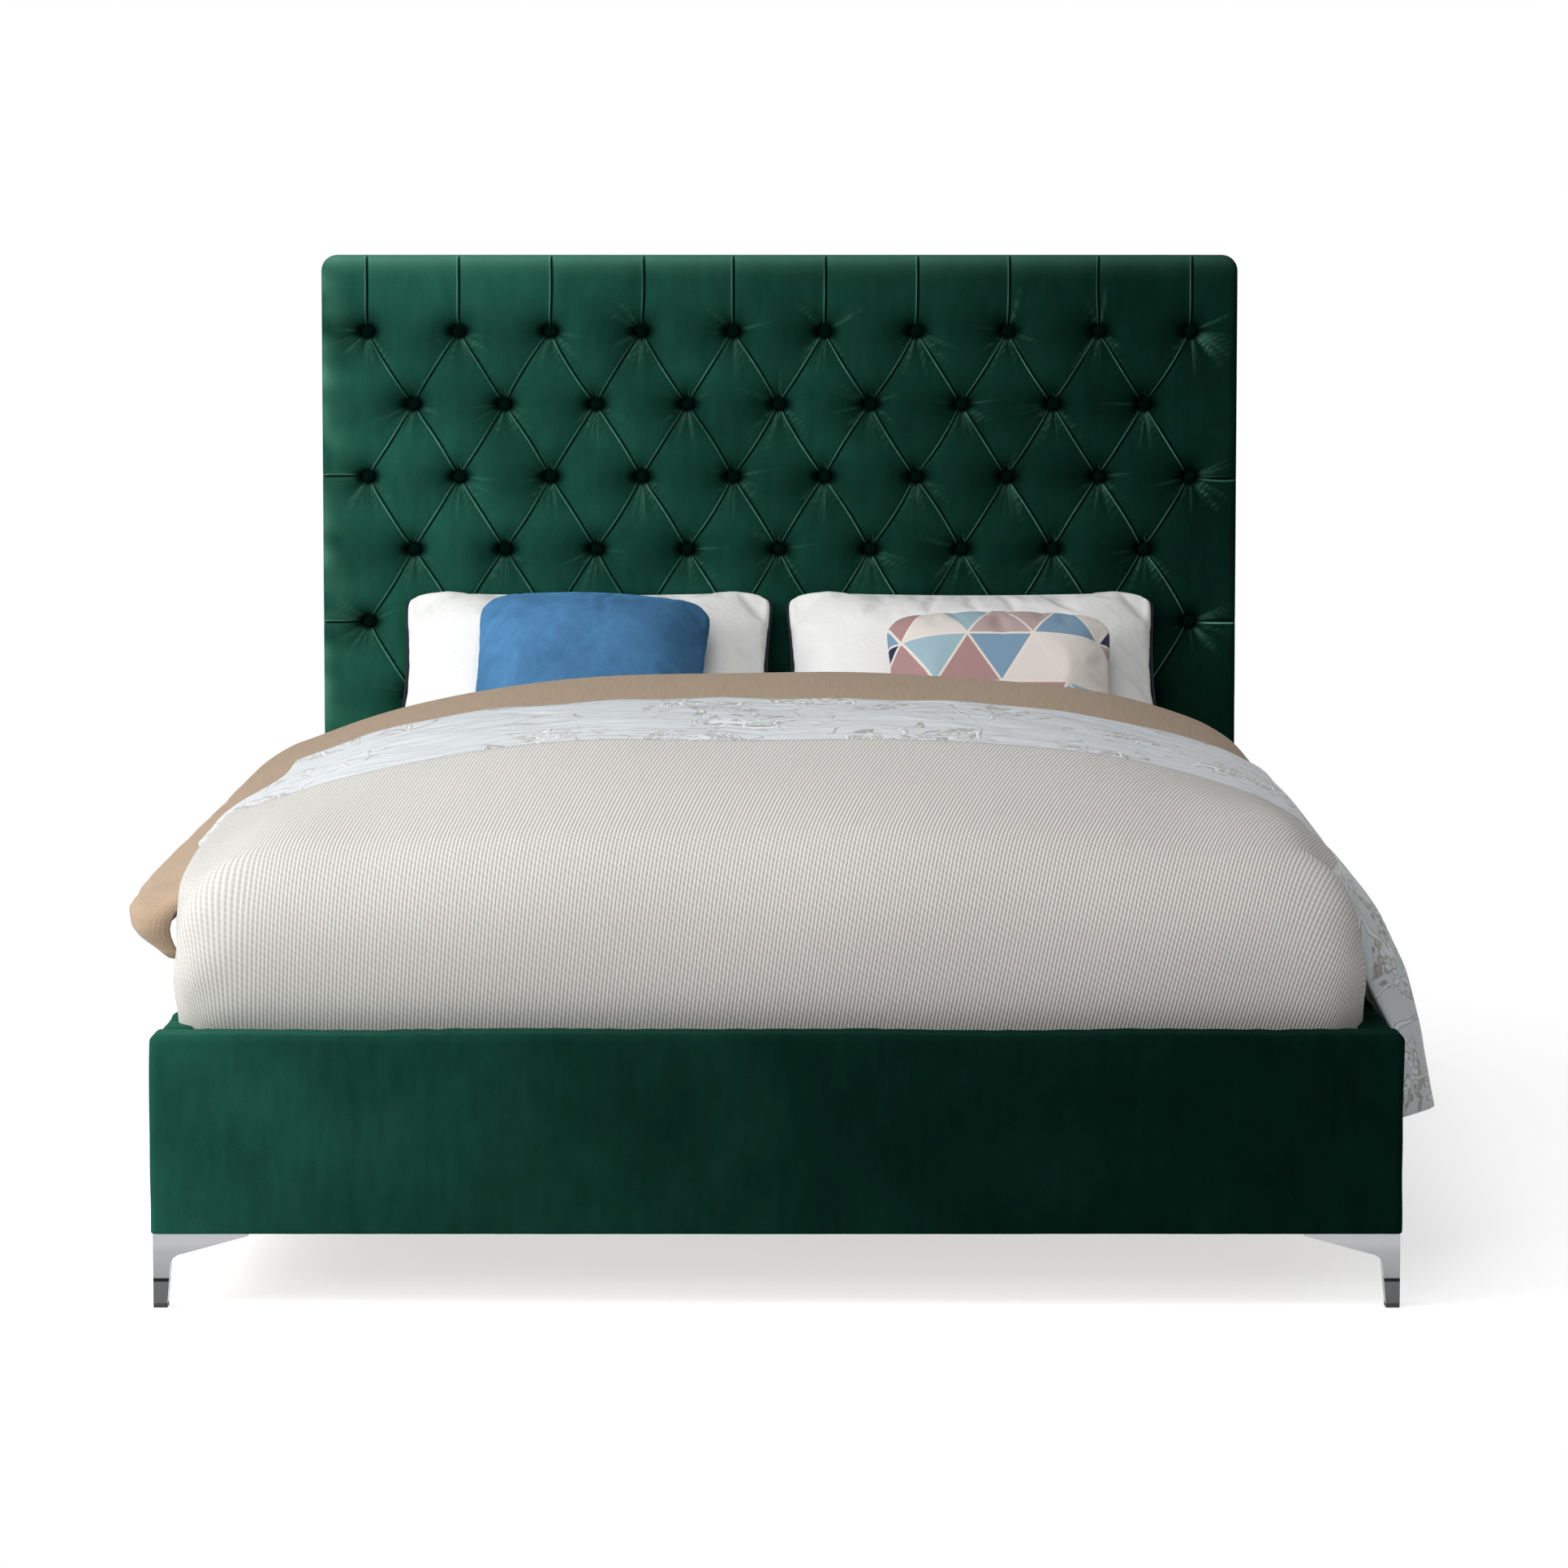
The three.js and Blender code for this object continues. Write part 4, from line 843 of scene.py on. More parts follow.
def painted_well_shade(x, z):
    """How much painted shade lies round each button, from 0 to 1: a dark well, wider across than
    upwards, and a soft painted shade to its left, where the well's slope faces away from the light."""
    left_width, right_width, height = 1.5, 1.1, 0.85
    soft_left, soft_right, soft_height, soft_lower, softness = 0.09, 0.03, 0.044, 0.006, 0.62
    total = np.zeros_like(x)
    for row in button_places():
        for bx, bz in row:
            dx, dz = x - bx, z - bz
            reach = np.hypot(np.where(dx < 0, dx / left_width, dx / right_width), dz / height)
            total = np.maximum(total, 1 - smoothstep(0.01, 0.034, reach))
            aside = np.where(dx < 0, dx / soft_left, dx / soft_right)
            soft = softness * np.exp(-(aside**2) - ((dz + soft_lower) / soft_height) ** 2)
            total = np.maximum(total, soft)
    return total


def crowded(values, pitch, phase, share=0.5):
    """Moves evenly spaced values closer together round every pitch from the phase."""
    turn = 2 * math.pi * (values - phase) / pitch
    return values - share * pitch / (2 * math.pi) * np.sin(turn)


def velvet_levels(bottom, pad_bottom, top, step):
    """Heights of the velvet's rows of vertices, closer together at each row of buttons."""
    plain = np.linspace(bottom, pad_bottom - 0.012, 11)
    turn = pad_bottom + np.array([-0.002, 0.0, 0.002])
    pad = np.linspace(pad_bottom + 0.004, top, round((top - pad_bottom) / step) + 1)
    levels = np.concatenate([plain, turn, pad])
    heights = [row[0][1] for row in button_places()]
    first, last = heights[0], heights[-1]
    spacing = (first - last) / (len(heights) - 1)
    share = smoothstep(last - spacing / 2, last, levels)
    share *= 1 - smoothstep(first + 0.02, first + 0.08, levels)
    return crowded(levels, spacing, first, 0.5 * share)


def mark_velvet(mesh, x, z, signed, from_edge, pad_bottom):
    """Stores on each vertex what the velvet's material reads: where the folds run, the painted
    shade of the wells round the buttons, and a painted highlight along the top edge, down the left
    edge and on the wrinkles round the buttons."""
    fold = mesh.verts.layers.float_vector.new("fold")
    painted_highlight = mesh.verts.layers.float.new("painted_highlight")
    near = 1 - smoothstep(0.011, 0.018, np.abs(signed))
    near *= (z > pad_bottom + 0.01) & (from_edge > 0.003)
    marks = np.column_stack([np.clip(signed, -NO_FOLD, NO_FOLD), near, painted_well_shade(x, z)])
    half, top = HALF_WIDTH, COVER_HIGH.z
    # Painted highlight: a band along the top and one down the side edge, both stronger towards the
    # left, where the light comes from, and pale lines on the wrinkles round the buttons.
    to_left = (half - x) / (2 * half)
    painted_top_highlight = (0.22 + 0.42 * to_left) * np.exp(-((np.maximum(top - z, 0) / 0.018) ** 1.4))
    at_side = 0.42 * to_left**2 * np.exp(-((half - np.abs(x)) / 0.02))
    at_side *= 0.6 + 0.6 * ripples(x, z, 0.06, 7)
    drawn = 0.42 * button_wrinkles(x, z) * smoothstep(0.012, 0.02, button_reach(x, z))
    # This painted highlight is held from 0 to 0.7, with none below the pad.
    stretched = np.clip(painted_top_highlight + at_side + drawn, 0, 0.7) * (z > pad_bottom)
    for vertex, mark, pulled in zip(mesh.verts, marks, stretched):
        vertex[fold] = mark
        vertex[painted_highlight] = pulled
    return fold, painted_highlight


def build_headboard_velvet():
    """Deep-buttoned velvet over soft foam: a closed tray round the base foam and the board."""
    s = sizes()
    half, top, bottom = HALF_WIDTH, COVER_HIGH.z, COVER_LOW.z - 0.0006
    step = 0.0048
    # The pad ends just below the foam, and its lower edge is rolled.
    pad_bottom, pad_roll = FOAM_LOW.z - 0.008, 0.03
    levels = velvet_levels(bottom, pad_bottom, top, step)
    rows = len(levels) - 1
    mesh, u, v = grid(round(2 * half / step), rows)
    flat_x = crowded((u - 0.5) * 2 * half, half / BUTTONS, 0.0)
    flat_z = levels[np.rint(v * rows).astype(int)]
    x, z = round_corners(flat_x, flat_z, s.corner, half, top)

    # Vertices are drawn towards each pleat, so that its fold is sharp.
    signed, across = nearest_pleat(x, z)
    reach = 0.015
    pull = np.where(np.abs(signed) < reach, signed * (np.abs(signed) / reach - 1) * 0.75, 0)
    pull *= smoothstep(0.0, 0.02, inside_outline(x, z, s.corner, half, top))
    pull *= z > pad_bottom + 0.01
    x, z = x + across[:, 0] * pull, z + across[:, 1] * pull
    signed, _ = nearest_pleat(x, z)

    depth = tuft_depth(x, z, signed)
    from_edge = inside_outline(x, z, s.corner, half, top)
    in_roll = np.clip(s.edge_roll - from_edge, 0, s.edge_roll)
    roll = s.edge_roll - np.sqrt(s.edge_roll**2 - in_roll**2)
    depth = np.hypot(np.maximum(depth, 0), roll) + np.minimum(depth, 0)
    lower = np.clip(z - pad_bottom, 0, pad_roll)
    lower_roll = pad_roll - np.sqrt(pad_roll**2 - (pad_roll - lower) ** 2)
    plain = BOARD_LOW.y - 0.008 - COVER_LOW.y
    depth = np.where(z < pad_bottom, plain, np.maximum(depth, lower_roll))
    move_vertices(mesh, np.column_stack([x, COVER_LOW.y + depth, z]))
    fold, painted_highlight = mark_velvet(mesh, x, z, signed, from_edge, pad_bottom)

    # The rim goes back round the sides and the top, turns in behind the board, and returns to
    # the board's face, where a flat lining closes it. Each step is (how far in, how deep).
    flat = dict(zip(mesh.verts, zip(flat_x, flat_z)))
    edges = [e for e in mesh.edges if e.is_boundary]
    back = COVER_HIGH.y
    sides = [(0.0, back - 0.055), (0.0, back - 0.03), (0.0012, back - 0.004)]
    turned = [(0.004, back), (0.025, back), (0.045, back - 0.0002)]
    lining = [(0.045, back - 0.0033), (0.008, back - 0.0034), (0.008, BOARD_LOW.y - 0.0003)]
    for inset, deep in sides + turned + lining:
        made = bmesh.ops.extrude_edge_only(mesh, edges=edges)["geom"]
        fresh = [g for g in made if isinstance(g, bmesh.types.BMVert)]
        known = set(fresh)
        before = {}
        for vertex in fresh:
            for edge in vertex.link_edges:
                other = edge.other_vert(vertex)
                if other not in known:
                    before[vertex] = other
                    flat[vertex] = flat[other]
        xs, zs = np.array([flat[vertex] for vertex in fresh]).T
        xs = xs * (half - inset) / half
        zs = bottom + (zs - bottom) * (top - inset - bottom) / (top - bottom)
        radius = max(s.corner - inset, 0.002)
        rx, rz = round_corners(xs, zs, radius, half - inset, top - inset)
        for vertex, px, pz in zip(fresh, rx, rz):
            vertex[fold] = (NO_FOLD, 0.0, 0.0)
            vertex[painted_highlight] = 0.0
            at_side = (inset, deep) in sides
            deeper = max(deep, before[vertex].co.y + 0.0005) if at_side else deep
            vertex.co = (px, deeper, pz)
        made_edges = [g for g in made if isinstance(g, bmesh.types.BMEdge)]
        edges = [e for e in made_edges if e.verts[0] in known and e.verts[1] in known]
    bmesh.ops.edgeloop_fill(mesh, edges=edges)
    bmesh.ops.recalc_face_normals(mesh, faces=mesh.faces)
    return as_object("headboard_velvet", mesh)


def build_buttons(finish):
    """Velvet-covered buttons on their shanks, tied to a twine behind the board."""
    s = sizes()
    seat = s.tuft_depth * math.exp(-((0.004 / s.well_reach) ** WELL_POWER))
    rim = COVER_LOW.y + seat - 0.0012
    shank, twine = 0.0013, 0.0012
    twine_y = BOARD_HIGH.y + 0.0015
    # The cap's shape: (share of its radius, how far it stands out towards the front).
    profile = [(0.0, -0.0062), (0.35, -0.0059), (0.65, -0.0048), (0.88, -0.0026), (1.0, 0.0)]
    for index, row in enumerate(button_places()):
        mesh = bmesh.new()
        for x, z in row:
            outline = [(x + share * s.button_radius, rim + rise, z) for share, rise in profile]
            outline += [(x + shank, rim + 0.002, z), (x + shank, twine_y, z), (x, twine_y, z)]
            points = [mesh.verts.new(place) for place in outline]
            spine = [mesh.edges.new(pair) for pair in zip(points, points[1:])]
            bmesh.ops.spin(
                mesh,
                geom=points + spine,
                cent=(x, 0, z),
                axis=(0, 1, 0),
                angle=2 * math.pi,
                steps=20,
                use_merge=True,
            )
        across = Matrix.Rotation(math.pi / 2, 4, "Y")
        bmesh.ops.create_cone(
            mesh,
            cap_ends=True,
            segments=8,
            radius1=twine,
            radius2=twine,
            depth=row[-1][0] - row[0][0] + 0.006,
            matrix=Matrix.Translation((0, twine_y, row[0][1])) @ across,
        )
        bmesh.ops.remove_doubles(mesh, verts=mesh.verts, dist=1e-6)
        bmesh.ops.recalc_face_normals(mesh, faces=mesh.faces)
        obj = as_object(f"covered_buttons_row_{index + 1}", mesh)
        settle(obj, "base", finish, "green_velvet", f"button_row_{index + 1}")


# ---- Footboard and rails ---------------------------------------------------------


def build_panel(name, node, seed, gather):
    """A soft-edged velvet panel, open underneath round its wooden core."""
    low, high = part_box(node)
    s = sizes()
    # The lower edges turn under almost sharp: their roll is cut off at the panel's bottom.
    below = Vector((0, 0, 0.65 * s.panel_roll))
    mesh = soft_box(low - below, high, s.panel_roll, 0.012)
    # The velvet is turned under and stapled, so only the middle of the underside is open.
    centre, turned = (low + high) / 2, 0.018
    underside = []
    for face in mesh.faces:
        away = face.calc_center_median() - centre
        inside = abs(away.x) < centre.x - low.x - turned and abs(away.y) < centre.y - low.y - turned
        if face.normal.z < -0.99 and inside:
            underside.append(face)
    bmesh.ops.delete(mesh, geom=underside, context="FACES")
    mesh.normal_update()
    points = np.array([v.co[:] for v in mesh.verts])
    normals = np.array([v.normal[:] for v in mesh.verts])
    along = points[:, 0 if high.x - low.x > high.y - low.y else 1]
    up = points[:, 2]
    # The wadding swells in broad and in small hills, and the cloth puckers at the upper edge.
    broad, small, drawn_in, hang = 0.0013, 0.0005, 0.0006, 0.0003
    swell = broad * ripples(along, up, 0.34, seed) + small * ripples(along, up, 0.07, seed + 1)
    near_top = smoothstep(high.z - 0.06, high.z - 0.004, up)
    puckers = gather * near_top * ripples(along, up * 0.3, 0.034, seed + 2)
    points += normals * (swell + puckers - drawn_in)[:, None]
    points[:, 2] = np.maximum(points[:, 2], low.z - hang)
    move_vertices(mesh, points)
    obj = as_object(name, mesh)
    solid = obj.modifiers.new("Cloth and wadding", "SOLIDIFY")
    solid.thickness = 0.003
    solid.offset = -1
    return obj


# ---- Frame -----------------------------------------------------------------------


def finish_node(name, finish, bevel=0.0):
    """Gives a CAD node its material, and a small bevel so that its edges catch light."""
    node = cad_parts[name]
    for place in node.material_slots:
        place.material = finish
    if not node.material_slots:
        node.data.materials.append(finish)
    if bevel:
        weld = node.modifiers.new("Weld", "WELD")
        weld.merge_threshold = 1e-5
        edge = node.modifiers.new("Edge", "BEVEL")
        edge.width = bevel
        edge.segments = 2
        edge.limit_method = "ANGLE"
        edge.angle_limit = math.radians(35)
        edge.harden_normals = False
        edge.use_clamp_overlap = True


def finish_frame():
    """Gives the pieces that stay as modelled in CAD their materials."""
    c = colours()
    across = pine_material("planed_pine_slats", c.pine, 0)
    along = pine_material("planed_pine_rails", c.pine, 1)
    # Powder coat: a fine orange-peel skin, half matt.
    steel = grained_material(
        "powder_coated_steel", c.steel, 900.0, 0.0003, Roughness=0.42, Metallic=0.0
    )
    # Moulded polypropylene: faintly rough from its mould.
    plastic = grained_material("moulded_polypropylene", c.plastic, 700.0, 0.0002, Roughness=0.5)
    # Particle board: chips of different browns pressed flat.
    board = grained_material("particle_board", c.board, 220.0, 0.0004, contrast=0.45, Roughness=0.8)
    # Polyurethane foam: open cells that scatter light.
    foam = grained_material(
        "polyurethane_foam", c.foam, 480.0, 0.0015, contrast=0.12, Roughness=1.0
    )
    # Spunbond dust cloth: thin, matt, with a pressed dot pattern too fine to show.
    backing = grained_material(
        "spunbond_cloth", c.black_cloth, 420.0, 0.0005, creases=0.003, Roughness=0.95
    )
    chrome = chrome_material()
    webbing = webbing_material(linear("#3a3a3c"))
    for index in range(1, 13):
        finish_node(f"slat_{index:02d}", across, 0.0025)
    finish_node("footboard_core", across, 0.002)
    for side in ("left", "right"):
        finish_node(f"rail_core_{side}", along, 0.002)
        finish_node(f"slat_ledge_{side}", along, 0.002)
        finish_node(f"slat_strap_{side}", webbing)
        for end in ("foot", "head"):
            finish_node(f"bracket_{end}_{side}", steel, 0.0008)
    finish_node("centre_beam", steel, 0.002)
    for end in ("foot", "head"):
        finish_node(f"beam_shoe_{end}", steel, 0.0005)
        finish_node(f"centre_leg_{end}", steel, 0.0008)
        finish_node(f"levelling_glide_{end}", plastic, 0.001)
    finish_node("headboard_board", board)
    finish_node("headboard_foam", foam)
    finish_node("headboard_back_cloth", backing)
    for corner in CORNERS:
        finish_node(f"chrome_leg_{corner}", chrome, 0.0009)
        finish_node(f"leg_pad_{corner}", plastic, 0.0009)


# ---- Bedding ---------------------------------------------------------------------

TOP = MATTRESS_HIGH.z
BED_HALF = DUVET_HIGH.x
# Each cover lies on the crown of the bed up to its shoulders, and falls from there.
SHOULDER = 0.73
# Where along the bed the denser rows of points of a cover's two ends meet, and the radius over
# which its head end rolls down.
MIDDLE = -0.2
HEAD_ROLL = 0.06
# How far each layer lies above the shape of the made bed.
DUVET_GROW, THROW_GROW, QUILT_GROW, SPREAD_GROW = -0.001, 0.0005, 0.0045, 0.0125


def bed_height(x, y):
    """Height of the made bed: a crown that falls to soft shoulders and towards the foot."""
    highest, foot_loss, pillow_rise = 0.18, 0.62, 0.02
    t = np.clip((y - DUVET_LOW.y) / (QUILT_HIGH.y - DUVET_LOW.y), 0, 1)
    crown = highest * (1 - foot_loss * (1 - t) ** 2.6) + pillow_rise * smoothstep(0.1, 0.5, y)
    fall = 0.9 - 0.17 * smoothstep(-0.45, 0.5, y)
    return TOP + crown * (1 - fall * (np.abs(x) / BED_HALF) ** 3.1)


def walk(points):
    """How far along a path each of its points is."""
    steps = np.linalg.norm(np.diff(points, axis=0), axis=1)
    return np.concatenate([[0], np.cumsum(steps)])


def evenly(points, count):
    """Points at even steps along a rounded version of a path of corner points, and its length."""
    points, samples, rounding = np.asarray(points, float), 500, 0.03
    walked = walk(points)
    fine = np.linspace(0, walked[-1], samples)
    dense = np.column_stack([np.interp(fine, walked, c) for c in points.T])
    reach = max(int(rounding / (walked[-1] / samples)), 1)
    window = np.hanning(2 * reach + 3)[1:-1]
    window /= window.sum()
    ends = [2 * dense[0] - dense[reach:0:-1], dense, 2 * dense[-1] - dense[-2 : -reach - 2 : -1]]
    padded = np.concatenate(ends)
    soft = np.column_stack([np.convolve(c, window, "valid") for c in padded.T])
    walked = walk(soft)
    places = np.linspace(0, walked[-1], count)
    return np.column_stack([np.interp(places, walked, c) for c in soft.T]), walked[-1]


def side_drop(points, y, cut, hem, grow):
    """A side of a cover, from the shoulder to its hem: points are (distance out from the
    middle, share of the way down)."""
    start = bed_height(SHOULDER, y) + grow
    return [(x - cut + grow, start + (hem + grow - start) * share) for x, share in points]


def cover_row(y, grow, left, right, left_hem, right_hem, count, cut=0.0):
    """One row of a cover, across the bed, as (x, z) from its left hem to its right hem."""
    inner = np.linspace(-SHOULDER + cut, SHOULDER - cut, 41)
    scaled = inner * SHOULDER / (SHOULDER - cut)
    top = list(zip(inner, bed_height(scaled, y) + grow))
    down_left = side_drop(left, y, cut, left_hem, grow)
    down_right = side_drop(right, y, cut, right_hem, grow)
    path = [(-x, z) for x, z in reversed(down_left)] + top + down_right
    return evenly(path, count)


def sheet_object(name, rows, flat, thickness, slack, outward=1.0):
    """A cover from its rows of points, with a UV map in metres and a real thickness. Flat is its
    width and length; slack moves each point along the normal."""
    rows = np.asarray(rows)
    count_v, count_u = rows.shape[:2]
    mesh, u, v = grid(count_u - 1, count_v - 1)
    column = np.rint(u * (count_u - 1)).astype(int)
    row = np.rint(v * (count_v - 1)).astype(int)
    move_vertices(mesh, rows[row, column])
    scale_uvs(mesh, *flat)
    mesh.normal_update()
    bmesh.ops.recalc_face_normals(mesh, faces=mesh.faces)
    on_top = Vector((0, -0.4, 0.9))
    middle = min(mesh.faces, key=lambda face: (face.calc_center_median() - on_top).length)
    if middle.normal.z < 0:
        bmesh.ops.reverse_faces(mesh, faces=mesh.faces)
    mesh.normal_update()
    points = np.array([vertex.co[:] for vertex in mesh.verts])
    normals = np.array([vertex.normal[:] for vertex in mesh.verts])
    points += normals * slack(points)[:, None]
    move_vertices(mesh, points)
    obj = as_object(name, mesh)
    solid = obj.modifiers.new("Thickness", "SOLIDIFY")
    solid.thickness = thickness
    solid.offset = outward
    return obj


def bed_slack(points):
    """Unevenness that every layer of the bedding shares, so that none comes through."""
    x, y = points[:, 0], points[:, 1]
    return 0.0035 * ripples(x, y, 0.5, 21)


# Sides of the covers, from the shoulder to the hem: (distance out from the bed's middle, share
# of the way down).
DUVET_LEFT = [(0.785, 0.13), (0.83, 0.3), (0.86, 0.5), (0.871, 0.68), (0.868, 0.86), (0.856, 1)]
DUVET_RIGHT = [(0.772, 0.14), (0.798, 0.3), (0.822, 0.47), (0.842, 0.68), (0.852, 0.85), (0.85, 1)]
THROW_LEFT = [(0.785, 0.12), (0.842, 0.26), (0.888, 0.42), (0.917, 0.57), (0.921, 0.72), (0.876, 1)]
QUILT_RIGHT = [(0.79, 0.08), (0.846, 0.26), (0.882, 0.47), (0.906, 0.72), (0.918, 0.9), (0.921, 1)]
# How far out the quilt's near end stands: in against the bed, then over the rail.
QUILT_END = [0.785, 0.804, 0.822, 0.871, 0.874, 0.874]
# How the corded cover's end falls: (share of its reach, share of its drop).
SPREAD_END = [
    (0, 0),
    (0.3, 0.02),
    (0.56, 0.08),
    (0.76, 0.18),
    (0.92, 0.31),
    (0.99, 0.46),
    (1, 0.64),
    (0.985, 0.84),
    (0.86, 1),
]


def roll_over(start, end, radius, steps):
    """Places along a cover that goes straight from start to end and rolls down there: (y, how
    far below the top) pairs."""
    sign = math.copysign(1, end - start)
    flat = np.linspace(start, end - sign * radius, steps)
    turn = np.linspace(0, math.pi / 2, 12)[1:]
    places = [(y, 0.0) for y in flat]
    for angle in turn:
        places.append((end - sign * radius * (1 - math.sin(angle)), radius * (1 - math.cos(angle))))
    return places


def build_duvet():
    """A thick duvet over the mattress, rolled down at the foot and closed at the head."""
    wall = sizes().duvet_wall
    count = 121
    low, high = DUVET_LOW.y, DUVET_HIGH.y
    corner, foot_roll, gap = 0.2, 0.108, 0.002
    head = roll_over(MIDDLE, high, HEAD_ROLL, 34)
    foot = roll_over(MIDDLE, low + 0.004, foot_roll, 44)
    places = [(y, drop, "foot") for y, drop in reversed(foot[1:])]
    places += [(y, drop, "head") for y, drop in head]
    places += [(high - 0.0004 * k, HEAD_ROLL + 0.02 * k, "head") for k in range(1, 6)]
    rows, wide = [], 0.0
    for y, drop, end in places:
        in_corner = max(corner - (y - low), 0)
        cut = corner - math.sqrt(max(corner**2 - in_corner**2, 0))
        sides = []
        # Towards the foot the sides draw in to a share of their reach beyond the shoulder.
        for side, least in ((DUVET_LEFT, 0.62), (DUVET_RIGHT, 0.5)):
            keep = 1 - (1 - least) * smoothstep(-0.6, -0.9, y)
            sides.append([(SHOULDER + (x - SHOULDER) * keep, share) for x, share in side])
        row, size = cover_row(y, DUVET_GROW, *sides, DUVET_LOW.z, DUVET_LOW.z, count, cut)
        x, z = row.T
        wide = max(wide, size)
        if end == "head":
            share = 1 - smoothstep(0.7, 0.8, np.abs(x))
            room = np.maximum(bed_height(0, y) - TOP - wall - gap, 0)
            down = min(drop / room, 1)
            z = z - down * np.maximum(z - TOP - wall - gap, 0) * share
            x = x * (1 - 0.02 * down)
        else:
            z = z - drop * (z > TOP - 0.02)
        rows.append(np.column_stack([x, np.full_like(x, y), z]))
    flat = (wide, high - low + 0.2)
    return sheet_object("duvet_cotton", rows, flat, wall, bed_slack, -1.0)


def wing_side(y):
    """The throw's left side at a place along the bed: it flares into a wing whose near end
    rounds in towards the bed. Returns the side's points and the height of its hem."""
    start, lift = -0.76, 0.076
    near = min(max(start - y, 0) / (start - THROW_LOW.y), 1)
    flare = 0.45 + 0.55 * math.sqrt(1 - near**2)
    root = THROW_LEFT[0][0]
    side = [(root + (out - root) * flare, share) for out, share in THROW_LEFT]
    return side, RAIL_TOP + lift + 0.02 * (1 - near)


def over_side(side, hem, y, outs):
    """Heights, at some distances out from the middle, of a side that hangs to a hem."""
    start = bed_height(SHOULDER, y)
    xs = [SHOULDER] + [x for x, _ in side]
    zs = [start] + [start + (hem - start) * share for _, share in side]
    return np.interp(outs, xs, zs)


def quilt_side(y):
    """The quilt's right side at a place along the bed: it stands out from the bed, and its near
    end rounds in against it. Returns the side's points and the height of its hem."""
    reach = 0.08
    near = min(max(QUILT_LOW.y + reach - y, 0) / reach, 1) ** 1.5
    side = [
        (out + (tucked - out) * near, share) for (out, share), tucked in zip(QUILT_RIGHT, QUILT_END)
    ]
    return side, QUILT_LOW.z + 0.012


def under_quilt(y):
    """The throw's right side at a place along the bed: it hangs just inside the quilt."""
    hem, start = RAIL_TOP + 0.03, bed_height(SHOULDER, y)
    first, furthest, gap = 0.77, 0.9, 0.01
    outs = np.linspace(first, furthest, 27)
    last = np.interp(-hem, -over_side(*quilt_side(y), y, outs), outs)
    outs = np.linspace(first, last, 6)
    tops = over_side(*quilt_side(y), y, outs)
    inset = gap * smoothstep(first, 0.84, outs)
    return [(x - i, (start - z) / (start - hem)) for x, z, i in zip(outs, tops, inset)], hem


def build_throw():
    """A woven throw under the quilt: its left side flares into a wing, its right side hangs."""
    count = 161
    low, high, thickness = THROW_LOW.y, THROW_HIGH.y, 0.0025
    end = high + 0.004
    places = [(y, 0.0) for y in np.linspace(low, MIDDLE, 50)[:-1]]
    places += roll_over(MIDDLE, end, HEAD_ROLL, 45)
    places += [(end, HEAD_ROLL + 0.011 * k) for k in range(1, 4)]
    rows, wide = [], []
    for y, drop in places:
        left, left_hem = wing_side(y)
        right, right_hem = under_quilt(y)
        row, size = cover_row(y, THROW_GROW, left, right, left_hem, right_hem, count)
        x, z = row.T
        wide.append(size)
        # The near end slants: it reaches further towards the foot on the left than on the right.
        last = smoothstep(-0.6, low, y)
        y = y - 0.034 * last * smoothstep(0.85, 0.9, -x) + 0.045 * last * smoothstep(0.74, 0.8, x)
        share = 1 - smoothstep(0.7, 0.85, np.abs(x))
        room = bed_height(0, y) - TOP
        z = z - drop / room * np.maximum(z - TOP, 0) * share
        rows.append(np.column_stack([x * (1 - 0.05 * drop), y * np.ones_like(x), z]))

    def folds(points):
        x, y, z = points.T
        wing = smoothstep(0.78, 0.87, -x)
        # One slanting fold runs down the wing.
        fold_width, fold_depth, wing_hills, right_hills = 0.022, 0.009, 0.0012, 0.003
        fold = np.exp(-(((y + 0.8 + 0.9 * (z - 0.53)) / fold_width) ** 2))
        wave = wing_hills * ripples(y * 0.5, z, 0.1, 8) - fold_depth * fold
        right = smoothstep(0.83, 0.9, x)
        slack = bed_slack(points) * (1 - wing)
        return slack + wing * wave + right_hills * right * ripples(y, z, 0.2, 9)

    flat = (float(np.mean(wide)), high - low + HEAD_ROLL)
    obj = sheet_object("woven_throw", rows, flat, thickness, folds)
    return obj


